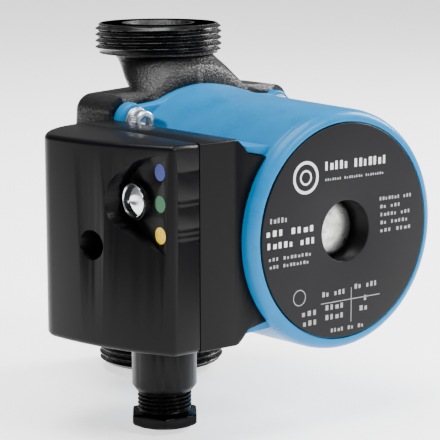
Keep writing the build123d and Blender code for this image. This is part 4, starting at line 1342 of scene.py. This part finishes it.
@dataclass
class SoftLamp:
    """A rectangular studio light that points at the pump.

    Attributes:
        name: The light's name.
        place: Where it stands, in metres.
        size: Width and height in metres.
        power: Watts.
        tint: Its colour.
    """

    name: str
    place: Colour
    size: tuple[float, float]
    power: float
    tint: Colour = (1.0, 1.0, 1.0)

    def build(self, target: Vector) -> None:
        """Stand the lamp and turn it to a target.

        Args:
            target: The point that it faces.
        """
        data = bpy.data.lights.new(self.name, "AREA")
        data.shape = "RECTANGLE"
        data.size, data.size_y = self.size
        data.energy = self.power
        data.color = self.tint
        lamp = bpy.data.objects.new(self.name, data)
        bpy.context.scene.collection.objects.link(lamp)
        lamp.location = self.place
        lamp.rotation_euler = (target - Vector(self.place)).to_track_quat("-Z", "Y").to_euler()


@dataclass
class Studio:
    """Camera, pale floor, soft lamps and an even sky.

    Attributes:
        heading: Camera heading from +Y towards +X, in degrees.
        dip: How far the camera looks down, in degrees.
        roll: Turn about the line of sight, in degrees.
        place: Camera place in metres.
        lens: Focal length for a 36 mm sensor.
        floor_z: Height of the floor.
        floor_half: Half the floor's width.
    """

    heading: float = 38.135
    dip: float = 10.004
    roll: float = -0.166
    place: Colour = (-0.42766, -0.58212, 0.18142)
    lens: float = 155.83
    floor_z: float = -0.0031
    floor_half: float = 12.0
    lamps: list[SoftLamp] = field(
        default_factory=lambda: [
            SoftLamp("key_lamp", (0.35, -1.2, 0.95), (0.6, 0.5), 26.0),
            SoftLamp("top_lamp", (-0.15, 0.0, 1.2), (0.9, 0.7), 30.0),
            SoftLamp("edge_lamp", (-1.3, -0.1, 0.45), (0.3, 0.9), 1.2),
            SoftLamp("rim_lamp", (1.1, -0.15, 0.75), (0.4, 0.6), 36.0),
        ]
    )

    def build(self) -> None:
        """Make the camera, then the lights and the floor."""
        self._camera()
        self._floor()
        self._sky()
        for lamp in self.lamps:
            lamp.build(Vector((-0.01, -0.05, 0.06)))
        LOG.info("studio ready")

    def _camera(self) -> None:
        """Aim the camera from heading, dip and roll."""
        turn, dip, roll = (math.radians(angle) for angle in (self.heading, self.dip, self.roll))
        ahead = Vector((math.sin(turn) * math.cos(dip), math.cos(turn) * math.cos(dip), -math.sin(dip)))
        right = Vector((math.cos(turn), -math.sin(turn), 0.0))
        above = right.cross(ahead)
        right, above = (
            right * math.cos(roll) + above * math.sin(roll),
            above * math.cos(roll) - right * math.sin(roll),
        )
        data = bpy.data.cameras.new("camera")
        data.lens = self.lens
        data.sensor_width = 36.0
        data.clip_start, data.clip_end = 0.05, 60.0
        camera = bpy.data.objects.new("camera", data)
        bpy.context.scene.collection.objects.link(camera)
        axes = Matrix((right, above, -ahead)).transposed().to_4x4()
        camera.matrix_world = Matrix.Translation(self.place) @ axes
        bpy.context.scene.camera = camera

    def _floor(self) -> None:
        """Lay one large pale sheet under the pump."""
        half = self.floor_half
        mesh = bpy.data.meshes.new("floor")
        corners = [(-half, -half), (half, -half), (half, half), (-half, half)]
        mesh.from_pydata([(x, y, self.floor_z) for x, y in corners], [], [(0, 1, 2, 3)])
        floor = bpy.data.objects.new("floor", mesh)
        bpy.context.scene.collection.objects.link(floor)
        graph = Graph("floor_white")
        cloud = graph.noise(0.2, 2.0)
        graph.set(
            Base_Color=graph.mix(cloud, (0.86, 0.86, 0.86), (0.88, 0.88, 0.88)),
            Roughness=0.8,
            Emission_Color=(1.0, 1.0, 1.0),
            Emission_Strength=1.3,
        )
        mesh.materials.append(graph.material)

    def _sky(self) -> None:
        """Even white surroundings."""
        world = bpy.data.worlds.new("even_sky")
        world.use_nodes = True
        background = world.node_tree.nodes["Background"]
        background.inputs[0].default_value = (1.0, 1.0, 1.0, 1.0)
        background.inputs[1].default_value = 0.3
        bpy.context.scene.world = world


# ------------------------------------------------------------------ main


def main() -> None:
    """Build everything in order."""
    Studio().build()
    dress_nodes()
    for assembly in (
        CastBody(),
        MotorShell(),
        FlangeScrews(),
        NameDisc(),
        VentCap(),
        ControlBox(),
        SpeedButton(),
        GlandNut(),
    ):
        assembly.build()


if __name__ == "__main__":
    main()
